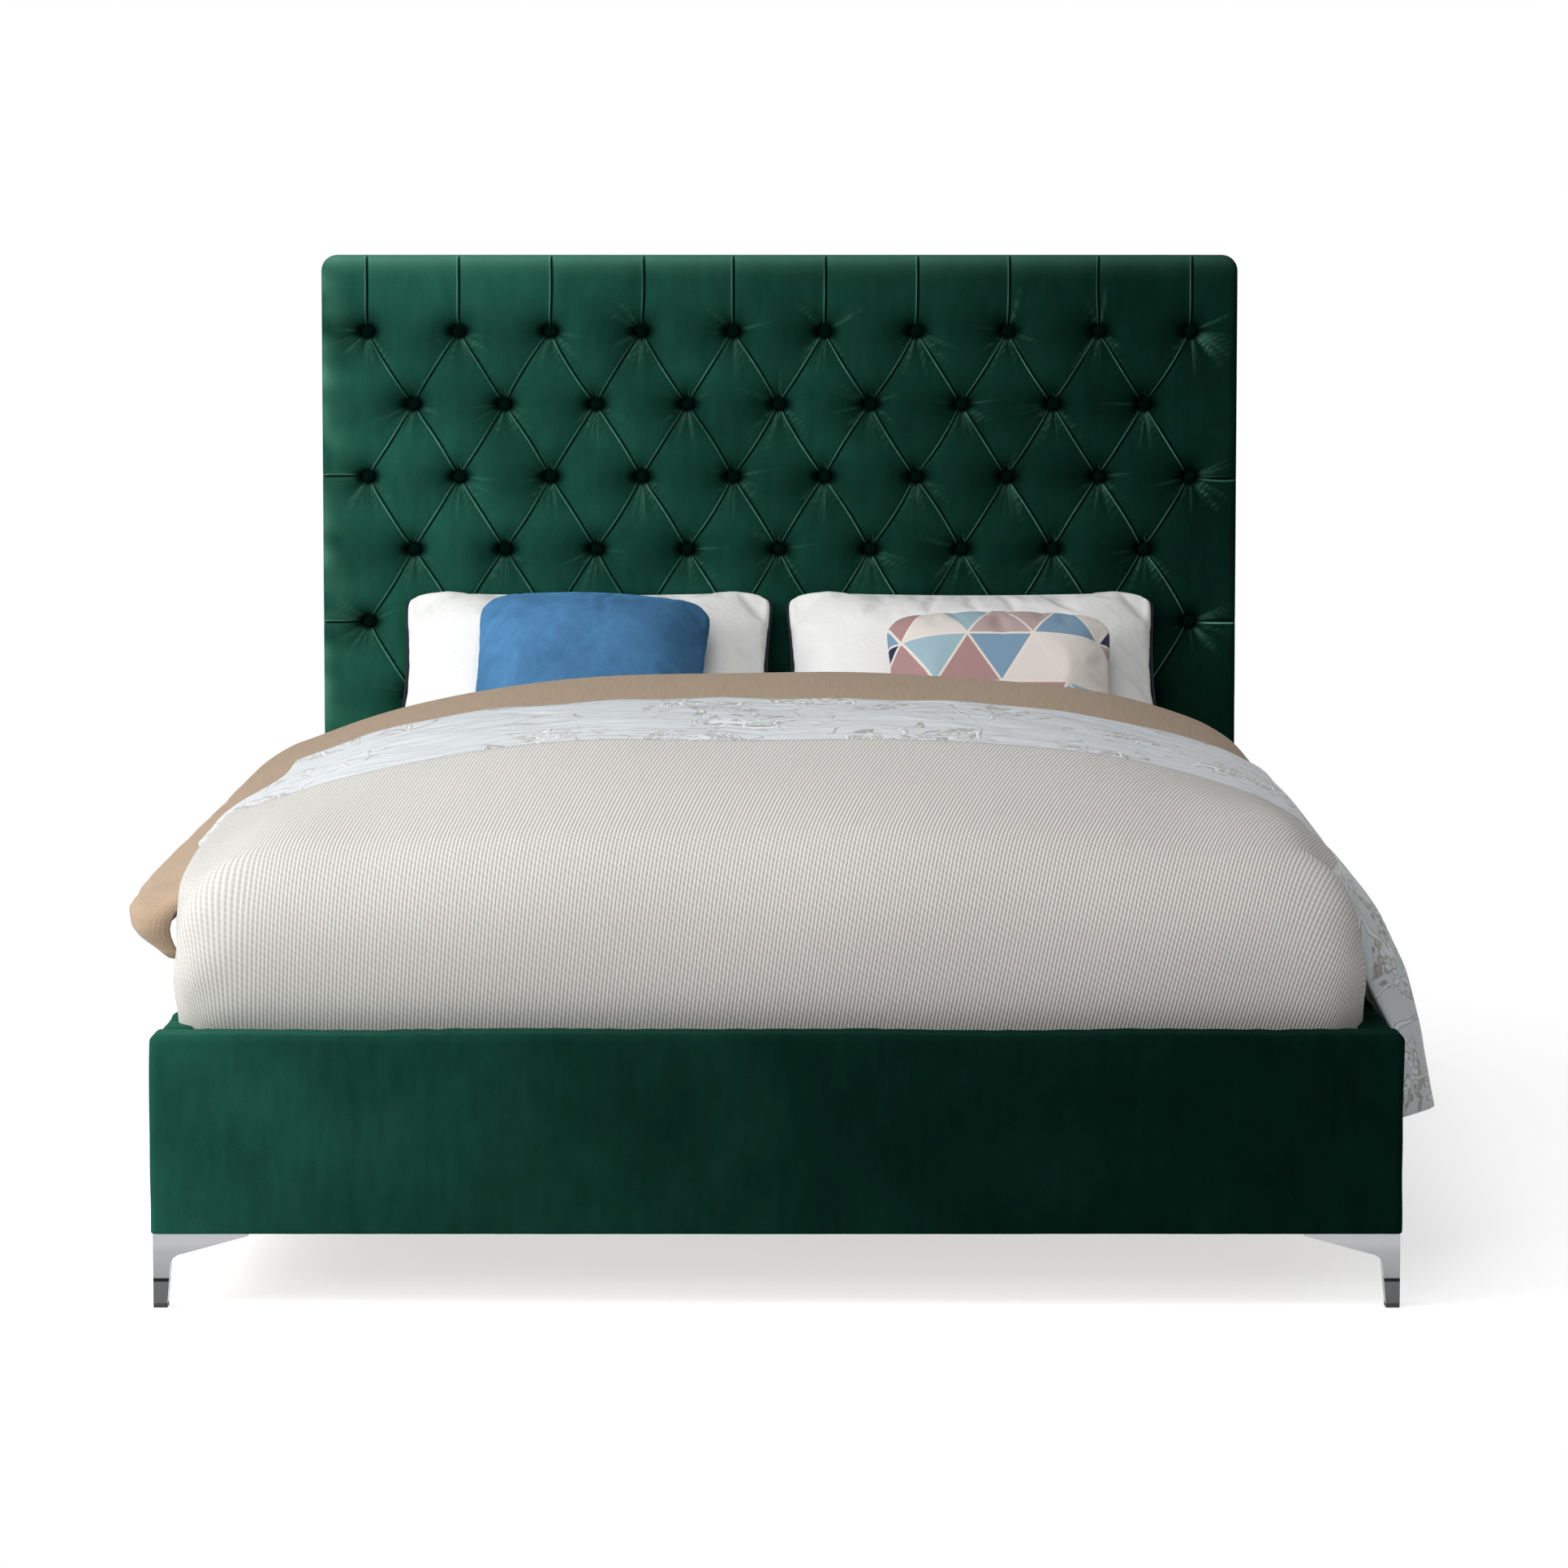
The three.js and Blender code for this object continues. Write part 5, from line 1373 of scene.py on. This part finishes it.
def build_quilt():
    """An embroidered quilt: its left hem lies on the throw, its right side hangs past the rail."""
    count = 171
    low, high, thickness = QUILT_LOW.y, QUILT_HIGH.y, 0.006
    fold_length, fold_phase, fold_depth, pucker_depth = 0.31, 4.3, 0.006, 0.0018
    rows, wide = [], []
    for y in np.linspace(low, high, 100):
        # The left side lies on the throw's wing, further down towards the foot.
        reach = 0.785 + 0.054 * smoothstep(0.0, -0.44, y) - 0.04 * smoothstep(-0.64, -0.8, y)
        outs = np.linspace(0.76, reach, 5)
        tops = over_side(*wing_side(y), y, outs)
        left_hem = float(tops[-1])
        fall = bed_height(SHOULDER, y) - left_hem
        left = [(x, (bed_height(SHOULDER, y) - z) / fall) for x, z in zip(outs, tops)]
        right, right_hem = quilt_side(y)
        row, size = cover_row(y, QUILT_GROW, left, right, left_hem, right_hem, count)
        wide.append(size)
        rows.append(np.column_stack([row[:, 0], np.full(count, y), row[:, 1]]))

    def folds(points):
        x, y, z = points.T
        hanging = smoothstep(0.86, 0.93, x)
        wave = np.sin(2 * math.pi * y / fold_length + fold_phase) + 0.7 * ripples(y, z, 0.16, 14)
        # It rumples across the bed where nothing lies on it.
        bare = 0.3 + 0.7 * smoothstep(-0.45, -0.36, y)
        bare = bare * (1 - smoothstep(0.66, 0.77, np.abs(x)))
        pucker = pucker_depth * bare * ripples(x * 0.3, y, 0.044, 15)
        return bed_slack(points) + fold_depth * hanging * wave + pucker

    flat = (float(np.mean(wide)), high - low)
    obj = sheet_object("embroidered_quilt", rows, flat, thickness, folds)
    return obj


def build_bedspread():
    """A corded cover over the foot of the bed: its sides lie on the throw and on the quilt, and
    its end falls inside the footboard round two soft corners."""
    step = 0.009
    head, foot, bottom = SPREAD_HIGH.y, SPREAD_LOW.y + 0.001, SPREAD_LOW.z
    # How far the end stands out, how high the cover is puffed up, and what its sides take up.
    reach, puffed, side_length, samples = 0.12, 0.014, 0.13, 80
    # To the left (-1) and the right (1): how far it overlaps the cloth below, and its corner.
    overlap, corner = {-1: 0.1, 1: 0.085}, {-1: 0.115, 1: 0.092}
    end = foot + reach
    fall = bed_height(0, end) + SPREAD_GROW - bottom
    down, long_end = evenly([(o * reach, h * fall) for o, h in SPREAD_END], samples)
    steps_end = round(long_end / step)
    steps_side = round(side_length / step)
    steps_flat = round((head - end) / step)
    steps_across = round(2 * SHOULDER / step)
    rows = []
    for j in range(-steps_flat, steps_end + 1):
        over_end = max(j, 0) / steps_end
        y = min(end + (head - end) * -j / steps_flat, head) if j < 0 else end
        row = []
        for i in range(-steps_side, steps_across + steps_side + 1):
            x = -SHOULDER + 2 * SHOULDER * min(max(i, 0), steps_across) / steps_across
            way = -1 if i < steps_across / 2 else 1
            aside = max(-i, i - steps_across, 0) / steps_side
            # The corner is a quarter turn round the point where the side meets the end.
            share = max(aside, over_end)
            if aside >= over_end:
                turn = math.pi / 4 * (over_end / aside if aside else 0)
            else:
                turn = math.pi / 2 - math.pi / 4 * aside / over_end
            out, drop = (np.interp(share, np.linspace(0, 1, samples), c) for c in down.T)
            puff = float(puffed * smoothstep(0.55, 0.73, abs(x)) * smoothstep(-0.5, -0.85, y))
            start = bed_height(x, y) + SPREAD_GROW + puff
            low_end = start - drop / fall * (start - bottom)
            wide = corner[way] * max(out / reach, 0) ** 0.75
            # On the way round, the side's rest on the cloth below gives way to the fall.
            free = float(smoothstep(0.0, 0.42, turn / (math.pi / 2)))
            side = wing_side(max(y, THROW_LOW.y)) if way < 0 else quilt_side(y)
            rest = over_side(*side, y, abs(x) + overlap[way] * share)
            settled = rest + SPREAD_GROW + puff * (1 - float(smoothstep(0.0, 0.6, share)))
            away = overlap[way] * share * (1 - free) + wide * free
            z = settled * (1 - free) + low_end * free if aside or over_end else start
            outward, along = math.cos(turn) ** 0.7, math.sin(turn) ** 0.7
            row.append((x + way * away * outward, y - out * along, z))
        rows.append(row)
    rows = soften(np.array(rows), 7)

    def folds(points):
        x, y, z = points.T
        # Slanting folds gather at the two corners.
        place, width, fold_length, fold_depth = 0.8, 0.05, 0.09, 0.0015
        at_corner = np.exp(-(((np.abs(x) - place) / width) ** 2)) * smoothstep(-0.9, -1.0, y)
        wave = np.sin(2 * math.pi * (z + 0.6 * np.abs(x)) / fold_length)
        lower = smoothstep(TOP + 0.02, TOP - 0.12, z)
        return bed_slack(points) * (1 - lower) + fold_depth * at_corner * wave

    flat = (2 * (SHOULDER + side_length), head - end + long_end)
    obj = sheet_object("corded_bedspread", rows, flat, 0.0035, folds)
    return obj


def soften(rows, times):
    """Rows of points, each moved towards the mean of its neighbours, the edges along their
    own line."""
    for _ in range(times):
        inner = rows.copy()
        inner[1:-1] = rows[1:-1] / 2 + (rows[:-2] + rows[2:]) / 4
        rows = inner.copy()
        rows[:, 1:-1] = inner[:, 1:-1] / 2 + (inner[:, :-2] + inner[:, 2:]) / 4
    return rows


def build_mattress(finish, tape_finish):
    """A mattress with a quilted top and bottom, a bulging border and taped edges."""
    low, high = MATTRESS_LOW, MATTRESS_HIGH
    # Sizes of its rolled edges, of the quilting's diamonds, and of the tape.
    roll, diamond, tape, tape_inset = 0.028, 0.19, 0.008, 0.018
    mesh = soft_box(low, high, roll, 0.022)
    points = np.array([v.co[:] for v in mesh.verts])
    normals = np.array([v.normal[:] for v in mesh.verts])
    x, y, z = points.T
    face = np.abs(normals[:, 2]) > 0.9
    a, b = (x + y) / diamond, (x - y) / diamond
    lines = np.minimum(np.abs(a - np.rint(a)), np.abs(b - np.rint(b)))
    quilting = np.where(face, -0.005 * np.exp(-((lines / 0.12) ** 2)), 0)
    middle = (low.z + high.z) / 2
    bulge = np.where(face, 0, 0.001 - 0.004 * np.cos(2 * math.pi * (z - middle) / 0.2))
    border = np.where(face, 0, -0.002) + 0.4 * bulge
    points += normals * (quilting + border - 0.001)[:, None]
    move_vertices(mesh, points)
    obj = as_object("mattress_ticking", mesh)
    settle(obj, "mattress", finish, "ticking", "mattress")
    radius, away = 0.03, 0.0305
    corners = ((high.x, high.y), (low.x, high.y), (low.x, low.y), (high.x, low.y))
    for label, height in (("top", high.z - tape_inset), ("bottom", low.z + tape_inset)):
        path = []
        for index, (side, end) in enumerate(corners):
            cx, cy = side - math.copysign(radius, side), end - math.copysign(radius, end)
            for angle in range(90 * index, 90 * index + 91, 15):
                turn = math.radians(angle)
                path.append((cx + away * math.cos(turn), cy + away * math.sin(turn), height))
        cord = tube(f"mattress_tape_{label}", path, tape, closed=True)
        settle(cord, "mattress", tape_finish, "ticking")


# ---- Pillows and cushions --------------------------------------------------------

# How far the pillows and cushions lean up from lying flat.
TILT = math.radians(48)
# The pressure that fills them, for so many frames, and how far it may move the cloth.
PRESSURE = 3.0
FRAMES = 20
SWELL = 0.024


def cushion_form(width, height, thickness, step, bow):
    """A closed cushion lying flat, with a marked seam. Its upper edge bows out when it is
    filled hard, its other edges draw in a little, and its corners are rounded off."""
    columns, rows = round(width / step), round(height / step)
    mesh, u, v = grid(columns, rows)
    u, v = 2 * u - 1, 2 * v - 1
    plump = np.sqrt((1 - np.abs(u) ** 2.5) * (1 - np.abs(v) ** 2.5))
    pull, cut = 0.045, 0.022 * (np.abs(u * v)) ** 12
    x = width / 2 * u * (1 - pull * (1 - v * v)) - np.sign(u) * cut
    y = height / 2 * v * (1 - pull * (1 - u * u)) - np.sign(v) * cut
    y += bow * np.maximum(v, 0) ** 2 * (1 - u * u)
    front = np.column_stack([x, y, thickness / 2 * plump])
    move_vertices(mesh, front)
    scale_uvs(mesh, width, height)
    rim = [e for e in mesh.edges if e.is_boundary]
    for edge in rim:
        edge.seam = True
    copied = bmesh.ops.duplicate(mesh, geom=mesh.verts[:] + mesh.edges[:] + mesh.faces[:])
    back = [g for g in copied["geom"] if isinstance(g, bmesh.types.BMVert)]
    for vertex in back:
        vertex.co.z = -vertex.co.z
    faces = [g for g in copied["geom"] if isinstance(g, bmesh.types.BMFace)]
    bmesh.ops.reverse_faces(mesh, faces=faces)
    bmesh.ops.remove_doubles(mesh, verts=mesh.verts, dist=1e-5)
    bmesh.ops.recalc_face_normals(mesh, faces=mesh.faces)
    return mesh


def inflate(obj, limit):
    """Fills a closed cloth cushion with air, held at its seam. Returns where its vertices come
    to, at most as far out as the limit."""
    data = obj.data
    start = np.array([v.co[:] for v in data.vertices])
    seam = sorted({i for e in data.edges if e.use_seam for i in e.vertices})
    group = obj.vertex_groups.new(name="seam")
    group.add(seam, 1.0, "REPLACE")
    cloth = obj.modifiers.new("Cloth", "CLOTH")
    settings = cloth.settings
    settings.quality = 6
    settings.mass = 0.2
    settings.tension_stiffness = settings.compression_stiffness = 20
    settings.shear_stiffness = 6
    settings.bending_stiffness = 0.6
    settings.shrink_min = -0.035
    settings.use_pressure = True
    settings.uniform_pressure_force = PRESSURE
    settings.effector_weights.gravity = 0
    settings.vertex_group_mass = "seam"
    cloth.collision_settings.use_collision = False
    cloth.point_cache.frame_start = 1
    cloth.point_cache.frame_end = FRAMES
    scene = bpy.context.scene
    for step in range(1, FRAMES + 1):
        scene.frame_set(step)
    filled = obj.evaluated_get(bpy.context.evaluated_depsgraph_get())
    end = np.array([v.co[:] for v in filled.data.vertices])
    obj.modifiers.remove(cloth)
    obj.vertex_groups.remove(group)
    scene.frame_set(1)
    move = end - start
    far = np.linalg.norm(move, axis=1, keepdims=True)
    start = start + move * np.minimum(1, SWELL / np.maximum(far, 1e-9))
    start[:, 2] = np.clip(start[:, 2], -limit, limit)
    return start


def build_cushion(name, node, size, step, slot, finish, bow=0.0, roll=0.0):
    """A filled cushion of a width, height and thickness, leaning in its place and flat where it
    rests. It rides on the body that is named like its node."""
    width, height, thickness = size
    step *= 1
    mesh = cushion_form(width, height, thickness * 0.8, step, bow)
    bmesh.ops.rotate(mesh, matrix=Matrix.Rotation(roll, 3, "Z"), verts=mesh.verts)
    obj = as_object(name, mesh)
    points = inflate(obj, thickness / 2)
    low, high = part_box(node)
    middle = (low + high) / 2
    turn = np.array(Matrix.Rotation(TILT, 3, "X"))
    points = points @ turn.T + np.array(middle)
    # What would go into the bed or into the headboard is pressed flat.
    points[:, 2] = np.maximum(points[:, 2], TOP + 0.002)
    points[:, 1] = np.minimum(points[:, 1], COVER_LOW.y - 0.001)
    for vertex, point in zip(obj.data.vertices, points):
        vertex.co = point
    smooth = obj.modifiers.new("Smooth", "SUBSURF")
    smooth.levels = smooth.render_levels = 1
    settle(obj, node, finish, slot, node)
    return obj


def seam_path(obj, side):
    """The seam's vertices along one side of a cushion, from the bottom up."""
    data = obj.data
    indices = {i for e in data.edges if e.use_seam for i in e.vertices}
    points = [data.vertices[i].co.copy() for i in indices]
    xs = [p.x for p in points]
    middle = (min(xs) + max(xs)) / 2
    half = (max(xs) - min(xs)) / 2
    low = min(p.z for p in points)
    high = max(p.z for p in points)
    chosen = [
        p
        for p in points
        if (p.x - middle) * side > half * 0.93 and low + 0.012 < p.z < high - 0.004
    ]
    return sorted(chosen, key=lambda p: p.z - p.y)


def build_pillows():
    """Two pillows with a piped seam down each side."""
    cotton = percale_material("percale_cotton", 0.006)
    # Piping: bias-cut cotton over a cord.
    piping = grained_material(
        "cotton_piping", colours().piping, 1200.0, 0.0004, Roughness=0.8, Specular_IOR_Level=0.2
    )
    size = (0.69, 0.41, 0.15)
    for side, sign in (("left", -1), ("right", 1)):
        node = f"pillow_{side}"
        obj = build_cushion(f"pillow_case_{side}", node, size, 0.0088, "pillow_cotton", cotton)
        for label, way in (("outer", sign), ("inner", -sign)):
            cord = tube(f"pillow_piping_{side}_{label}", seam_path(obj, way), sizes().piping)
            settle(cord, node, piping, "pillow_cotton")


# ---- Stage -----------------------------------------------------------------------


# The camera stands beyond the foot of the bed and looks slightly down.
CAMERA_PLACE = (0.0148, -6.6067, 1.3352)
CAMERA_DROP = math.radians(3.814)
CAMERA_LENS = 94.257
CAMERA_SHIFT = (-0.0022, -0.12)
# The floor turns plain white between these distances from the middle, and glows a little nearer.
FLOOR_FADE = (1.1, 2.1)
FLOOR_LIFT = 0.62
# Strength of the light from all round.
AMBIENT = 0.23
# Lamps: (name, place, what it faces, its size, its power in watts).
LAMPS = (
    ("Window", (-3.0, -1.5, 2.0), (0.2, 0.0, 0.6), (3.4, 2.2), 97),
    ("Overhead", (-0.8, -1.6, 3.6), (0.0, -0.2, 0.5), (2.6, 2.6), 50),
    ("Front fill", (-0.8, -5.5, 2.2), (0, 0, 0.7), (3.0, 2.0), 45),
)


def add_lamp(name, place, aim, size, power):
    """A soft rectangular lamp."""
    data = bpy.data.lights.new(name, "AREA")
    data.shape = "RECTANGLE"
    data.size, data.size_y = size
    data.energy = power
    lamp = add_object(name, data)
    lamp.location = place
    lamp.rotation_euler = (Vector(aim) - Vector(place)).to_track_quat("-Z", "Y").to_euler()


def seen_ray(add):
    """A value that is 1 for a ray from the camera, a mirror or glass, and 0 for other light."""
    rays = add("LightPath").outputs
    seen = add("Math", {0: rays["Is Camera Ray"], 1: rays["Is Glossy Ray"]}, operation="MAXIMUM")
    return add("Math", {0: seen, 1: rays["Is Transmission Ray"]}, operation="MAXIMUM")


def build_floor():
    """A pale floor that is lit where the object's shadow falls, and white round it."""
    mesh = bmesh.new()
    bmesh.ops.create_grid(mesh, x_segments=4, y_segments=4, size=9.0)
    floor = as_object("studio_floor", mesh)
    material, add, shader = new_material(
        "pale_floor", Roughness=0.9, Specular_IOR_Level=0.1, Base_Color=(0.8, 0.8, 0.8, 1.0)
    )
    place = add("TexCoord").outputs["Object"]
    away = add("VectorMath", {0: place}, operation="LENGTH")
    seen = seen_ray(add)
    far = add(
        "MapRange",
        {"Value": away, "From Min": FLOOR_FADE[0], "From Max": FLOOR_FADE[1]},
        interpolation_type="SMOOTHSTEP",
    )
    both = add("Math", {0: seen, 1: far}, operation="MULTIPLY")
    white = add("Emission", {"Strength": 1.0})
    lifted = add("Emission", {"Strength": FLOOR_LIFT})
    brighter = add("AddShader", {0: shader, 1: lifted})
    near = add("MixShader", {0: seen, 1: shader, 2: brighter})
    mixed = add("MixShader", {0: both, 1: near, 2: white})
    output = next(n for n in material.node_tree.nodes if n.type == "OUTPUT_MATERIAL")
    plug(mixed, output.inputs["Surface"])
    floor.data.materials.append(material)


def build_stage():
    """A pale floor, plain soft light from the upper left, and the camera."""
    scene = bpy.context.scene
    scene.view_settings.view_transform = "Standard"
    data = bpy.data.cameras.new("Camera")
    data.sensor_width = 36
    data.lens = CAMERA_LENS
    data.shift_x, data.shift_y = CAMERA_SHIFT
    data.clip_end = 100
    camera = add_object("Camera", data)
    camera.location = CAMERA_PLACE
    camera.rotation_euler = (math.pi / 2 - CAMERA_DROP, 0, 0)
    scene.camera = camera
    build_floor()

    world = bpy.data.worlds.new("Studio")
    scene.world = world
    world.use_nodes = True
    world.node_tree.nodes.clear()
    add = partial(add_node, world.node_tree)
    white = (1, 1, 1, 1)
    ambient = add("Background", {"Strength": AMBIENT, "Color": white})
    plain = add("Background", {"Strength": 1.0, "Color": white})
    add("OutputWorld", {"Surface": add("MixShader", {0: seen_ray(add), 1: ambient, 2: plain})})
    for lamp in LAMPS:
        add_lamp(*lamp)


# ---- Operators -------------------------------------------------------------------


class BED_OT_stage(bpy.types.Operator):
    """Sets up the floor, the light and the camera"""

    bl_idname = "bed.stage"
    bl_label = "Stage"

    def execute(self, context):
        build_stage()
        return {"FINISHED"}


class BED_OT_frame(bpy.types.Operator):
    """Finishes the legs, the timber, the steel and the headboard's inside"""

    bl_idname = "bed.frame"
    bl_label = "Frame finishes"

    def execute(self, context):
        finish_frame()
        return {"FINISHED"}


class BED_OT_headboard(bpy.types.Operator):
    """Builds the deep-buttoned headboard and its covered buttons"""

    bl_idname = "bed.headboard"
    bl_label = "Headboard"

    def execute(self, context):
        c = colours()
        # Painted light: the velvet is painted lighter at the left end than at the right one.
        velvet = velvet_material(
            "tufted_velvet", c.velvet, c.nap, painted_light=(1.42, 0.4, 1.0), tufted=True
        )
        settle(build_headboard_velvet(), "base", velvet, "green_velvet", "headboard_cover")
        # The buttons' velvet is painted near black: painted shade of the wells they sit in.
        build_buttons(velvet_material("painted_shade_button_velvet", shade(c.velvet, 0.12), c.nap, 0.04))
        return {"FINISHED"}


class BED_OT_panels(bpy.types.Operator):
    """Builds the velvet covers of the footboard and the side rails"""

    bl_idname = "bed.panels"
    bl_label = "Footboard and rails"

    def execute(self, context):
        c = colours()
        # Painted light: the velvet is painted lighter at the left end than at the right one.
        velvet = velvet_material("cut_velvet", c.velvet, c.nap, painted_light=(1.5, 0.25, 2.9))
        for name, node, seed, gather in (
            ("footboard_velvet", "footboard_cover", 31, 0.0006),
            ("rail_velvet_left", "rail_cover_left", 41, 0.0024),
            ("rail_velvet_right", "rail_cover_right", 51, 0.0024),
        ):
            settle(build_panel(name, node, seed, gather), "base", velvet, "green_velvet", node)
        return {"FINISHED"}


class BED_OT_mattress(bpy.types.Operator):
    """Builds the mattress with its tape"""

    bl_idname = "bed.mattress"
    bl_label = "Mattress"

    def execute(self, context):
        c = colours()
        # Ticking: tightly woven cotton, matt, a little creased between its quilting.
        ticking = grained_material(
            "cotton_ticking", c.ticking, 800.0, 0.0003, contrast=0.07, creases=0.002, Roughness=0.85
        )
        tape = grained_material(
            "cotton_tape", shade(c.ticking, 0.75), 1200.0, 0.0004, Roughness=0.85
        )
        build_mattress(ticking, tape)
        return {"FINISHED"}


class BED_OT_duvet(bpy.types.Operator):
    """Builds the duvet"""

    bl_idname = "bed.duvet"
    bl_label = "Duvet"

    def execute(self, context):
        cotton = percale_material("duvet_percale", 0.008)
        obj = settle(build_duvet(), "mattress", cotton, "white_cotton", "duvet")
        return {"FINISHED"}


class BED_OT_throw(bpy.types.Operator):
    """Builds the woven throw"""

    bl_idname = "bed.throw"
    bl_label = "Throw"

    def execute(self, context):
        # Linen blend: uneven warp threads that show as fine lines along the cloth.
        linen = woven_material("linen_weave", colours().throw, 0.0022, 0.3)
        settle(build_throw(), "mattress", linen, "tan_cloth", "throw")
        return {"FINISHED"}


class BED_OT_quilt(bpy.types.Operator):
    """Builds the embroidered quilt"""

    bl_idname = "bed.quilt"
    bl_label = "Quilt"

    def execute(self, context):
        sateen = embroidered_material(colours().quilt)
        settle(build_quilt(), "mattress", sateen, "embroidered_cloth", "quilt")
        return {"FINISHED"}


class BED_OT_bedspread(bpy.types.Operator):
    """Builds the corded cover over the foot of the bed"""

    bl_idname = "bed.bedspread"
    bl_label = "Bedspread"

    def execute(self, context):
        corded = ribbed_material(colours().ribbed)
        settle(build_bedspread(), "mattress", corded, "ribbed_cloth", "bedspread")
        return {"FINISHED"}


class BED_OT_pillows(bpy.types.Operator):
    """Builds the two pillows with their piping"""

    bl_idname = "bed.pillows"
    bl_label = "Pillows"

    def execute(self, context):
        build_pillows()
        return {"FINISHED"}


class BED_OT_cushions(bpy.types.Operator):
    """Builds the two scatter cushions"""

    bl_idname = "bed.cushions"
    bl_label = "Cushions"

    def execute(self, context):
        c = colours()
        # Painted light: the blue velvet is painted lighter at its left side than at its right one.
        blue = velvet_material(
            "blue_velveteen", c.blue, shade(c.blue, 3.0), 0.8, painted_light=(1.6, -0.39, 1.0)
        )
        size, turned = (0.43, 0.40, 0.11), math.radians(-2.5)
        node, slot = "cushion_blue", "blue_velvet"
        build_cushion("cushion_velvet", node, size, 0.0085, slot, blue, 0.032, turned)
        size, node, slot = (0.415, 0.36, 0.11), "cushion_pattern", "pattern_cloth"
        low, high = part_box(node)
        printed = triangle_material(TILT, (low + high) / 2)
        build_cushion("cushion_triangles", node, size, 0.0085, slot, printed, 0.03)
        return {"FINISHED"}


STEPS = (
    BED_OT_stage,
    BED_OT_frame,
    BED_OT_headboard,
    BED_OT_panels,
    BED_OT_mattress,
    BED_OT_duvet,
    BED_OT_throw,
    BED_OT_quilt,
    BED_OT_bedspread,
    BED_OT_pillows,
    BED_OT_cushions,
)


class BED_PT_panel(bpy.types.Panel):
    """Lists the bed's pieces, sizes and colours"""

    bl_label = "Bed"
    bl_idname = "BED_PT_panel"
    bl_space_type = "VIEW_3D"
    bl_region_type = "UI"
    bl_category = "Bed"

    def draw(self, context):
        for step in STEPS:
            self.layout.operator(step.bl_idname)
        for group in (context.scene.bed_sizes, context.scene.bed_colours):
            column = self.layout.column()
            for name in group.__annotations__:
                column.prop(group, name)


def register():
    """Registers the classes and the scene's properties."""
    for kind in (BedSizes, BedColours, *STEPS, BED_PT_panel):
        bpy.utils.register_class(kind)
    bpy.types.Scene.bed_sizes = PointerProperty(type=BedSizes)
    bpy.types.Scene.bed_colours = PointerProperty(type=BedColours)


def unregister():
    """Takes the properties and the classes away again."""
    del bpy.types.Scene.bed_colours
    del bpy.types.Scene.bed_sizes
    for kind in reversed((BedSizes, BedColours, *STEPS, BED_PT_panel)):
        bpy.utils.unregister_class(kind)


def main():
    """Builds the bed."""
    register()
    for step in STEPS:
        group, name = step.bl_idname.split(".")
        getattr(getattr(bpy.ops, group), name)()


if __name__ == "__main__":
    main()
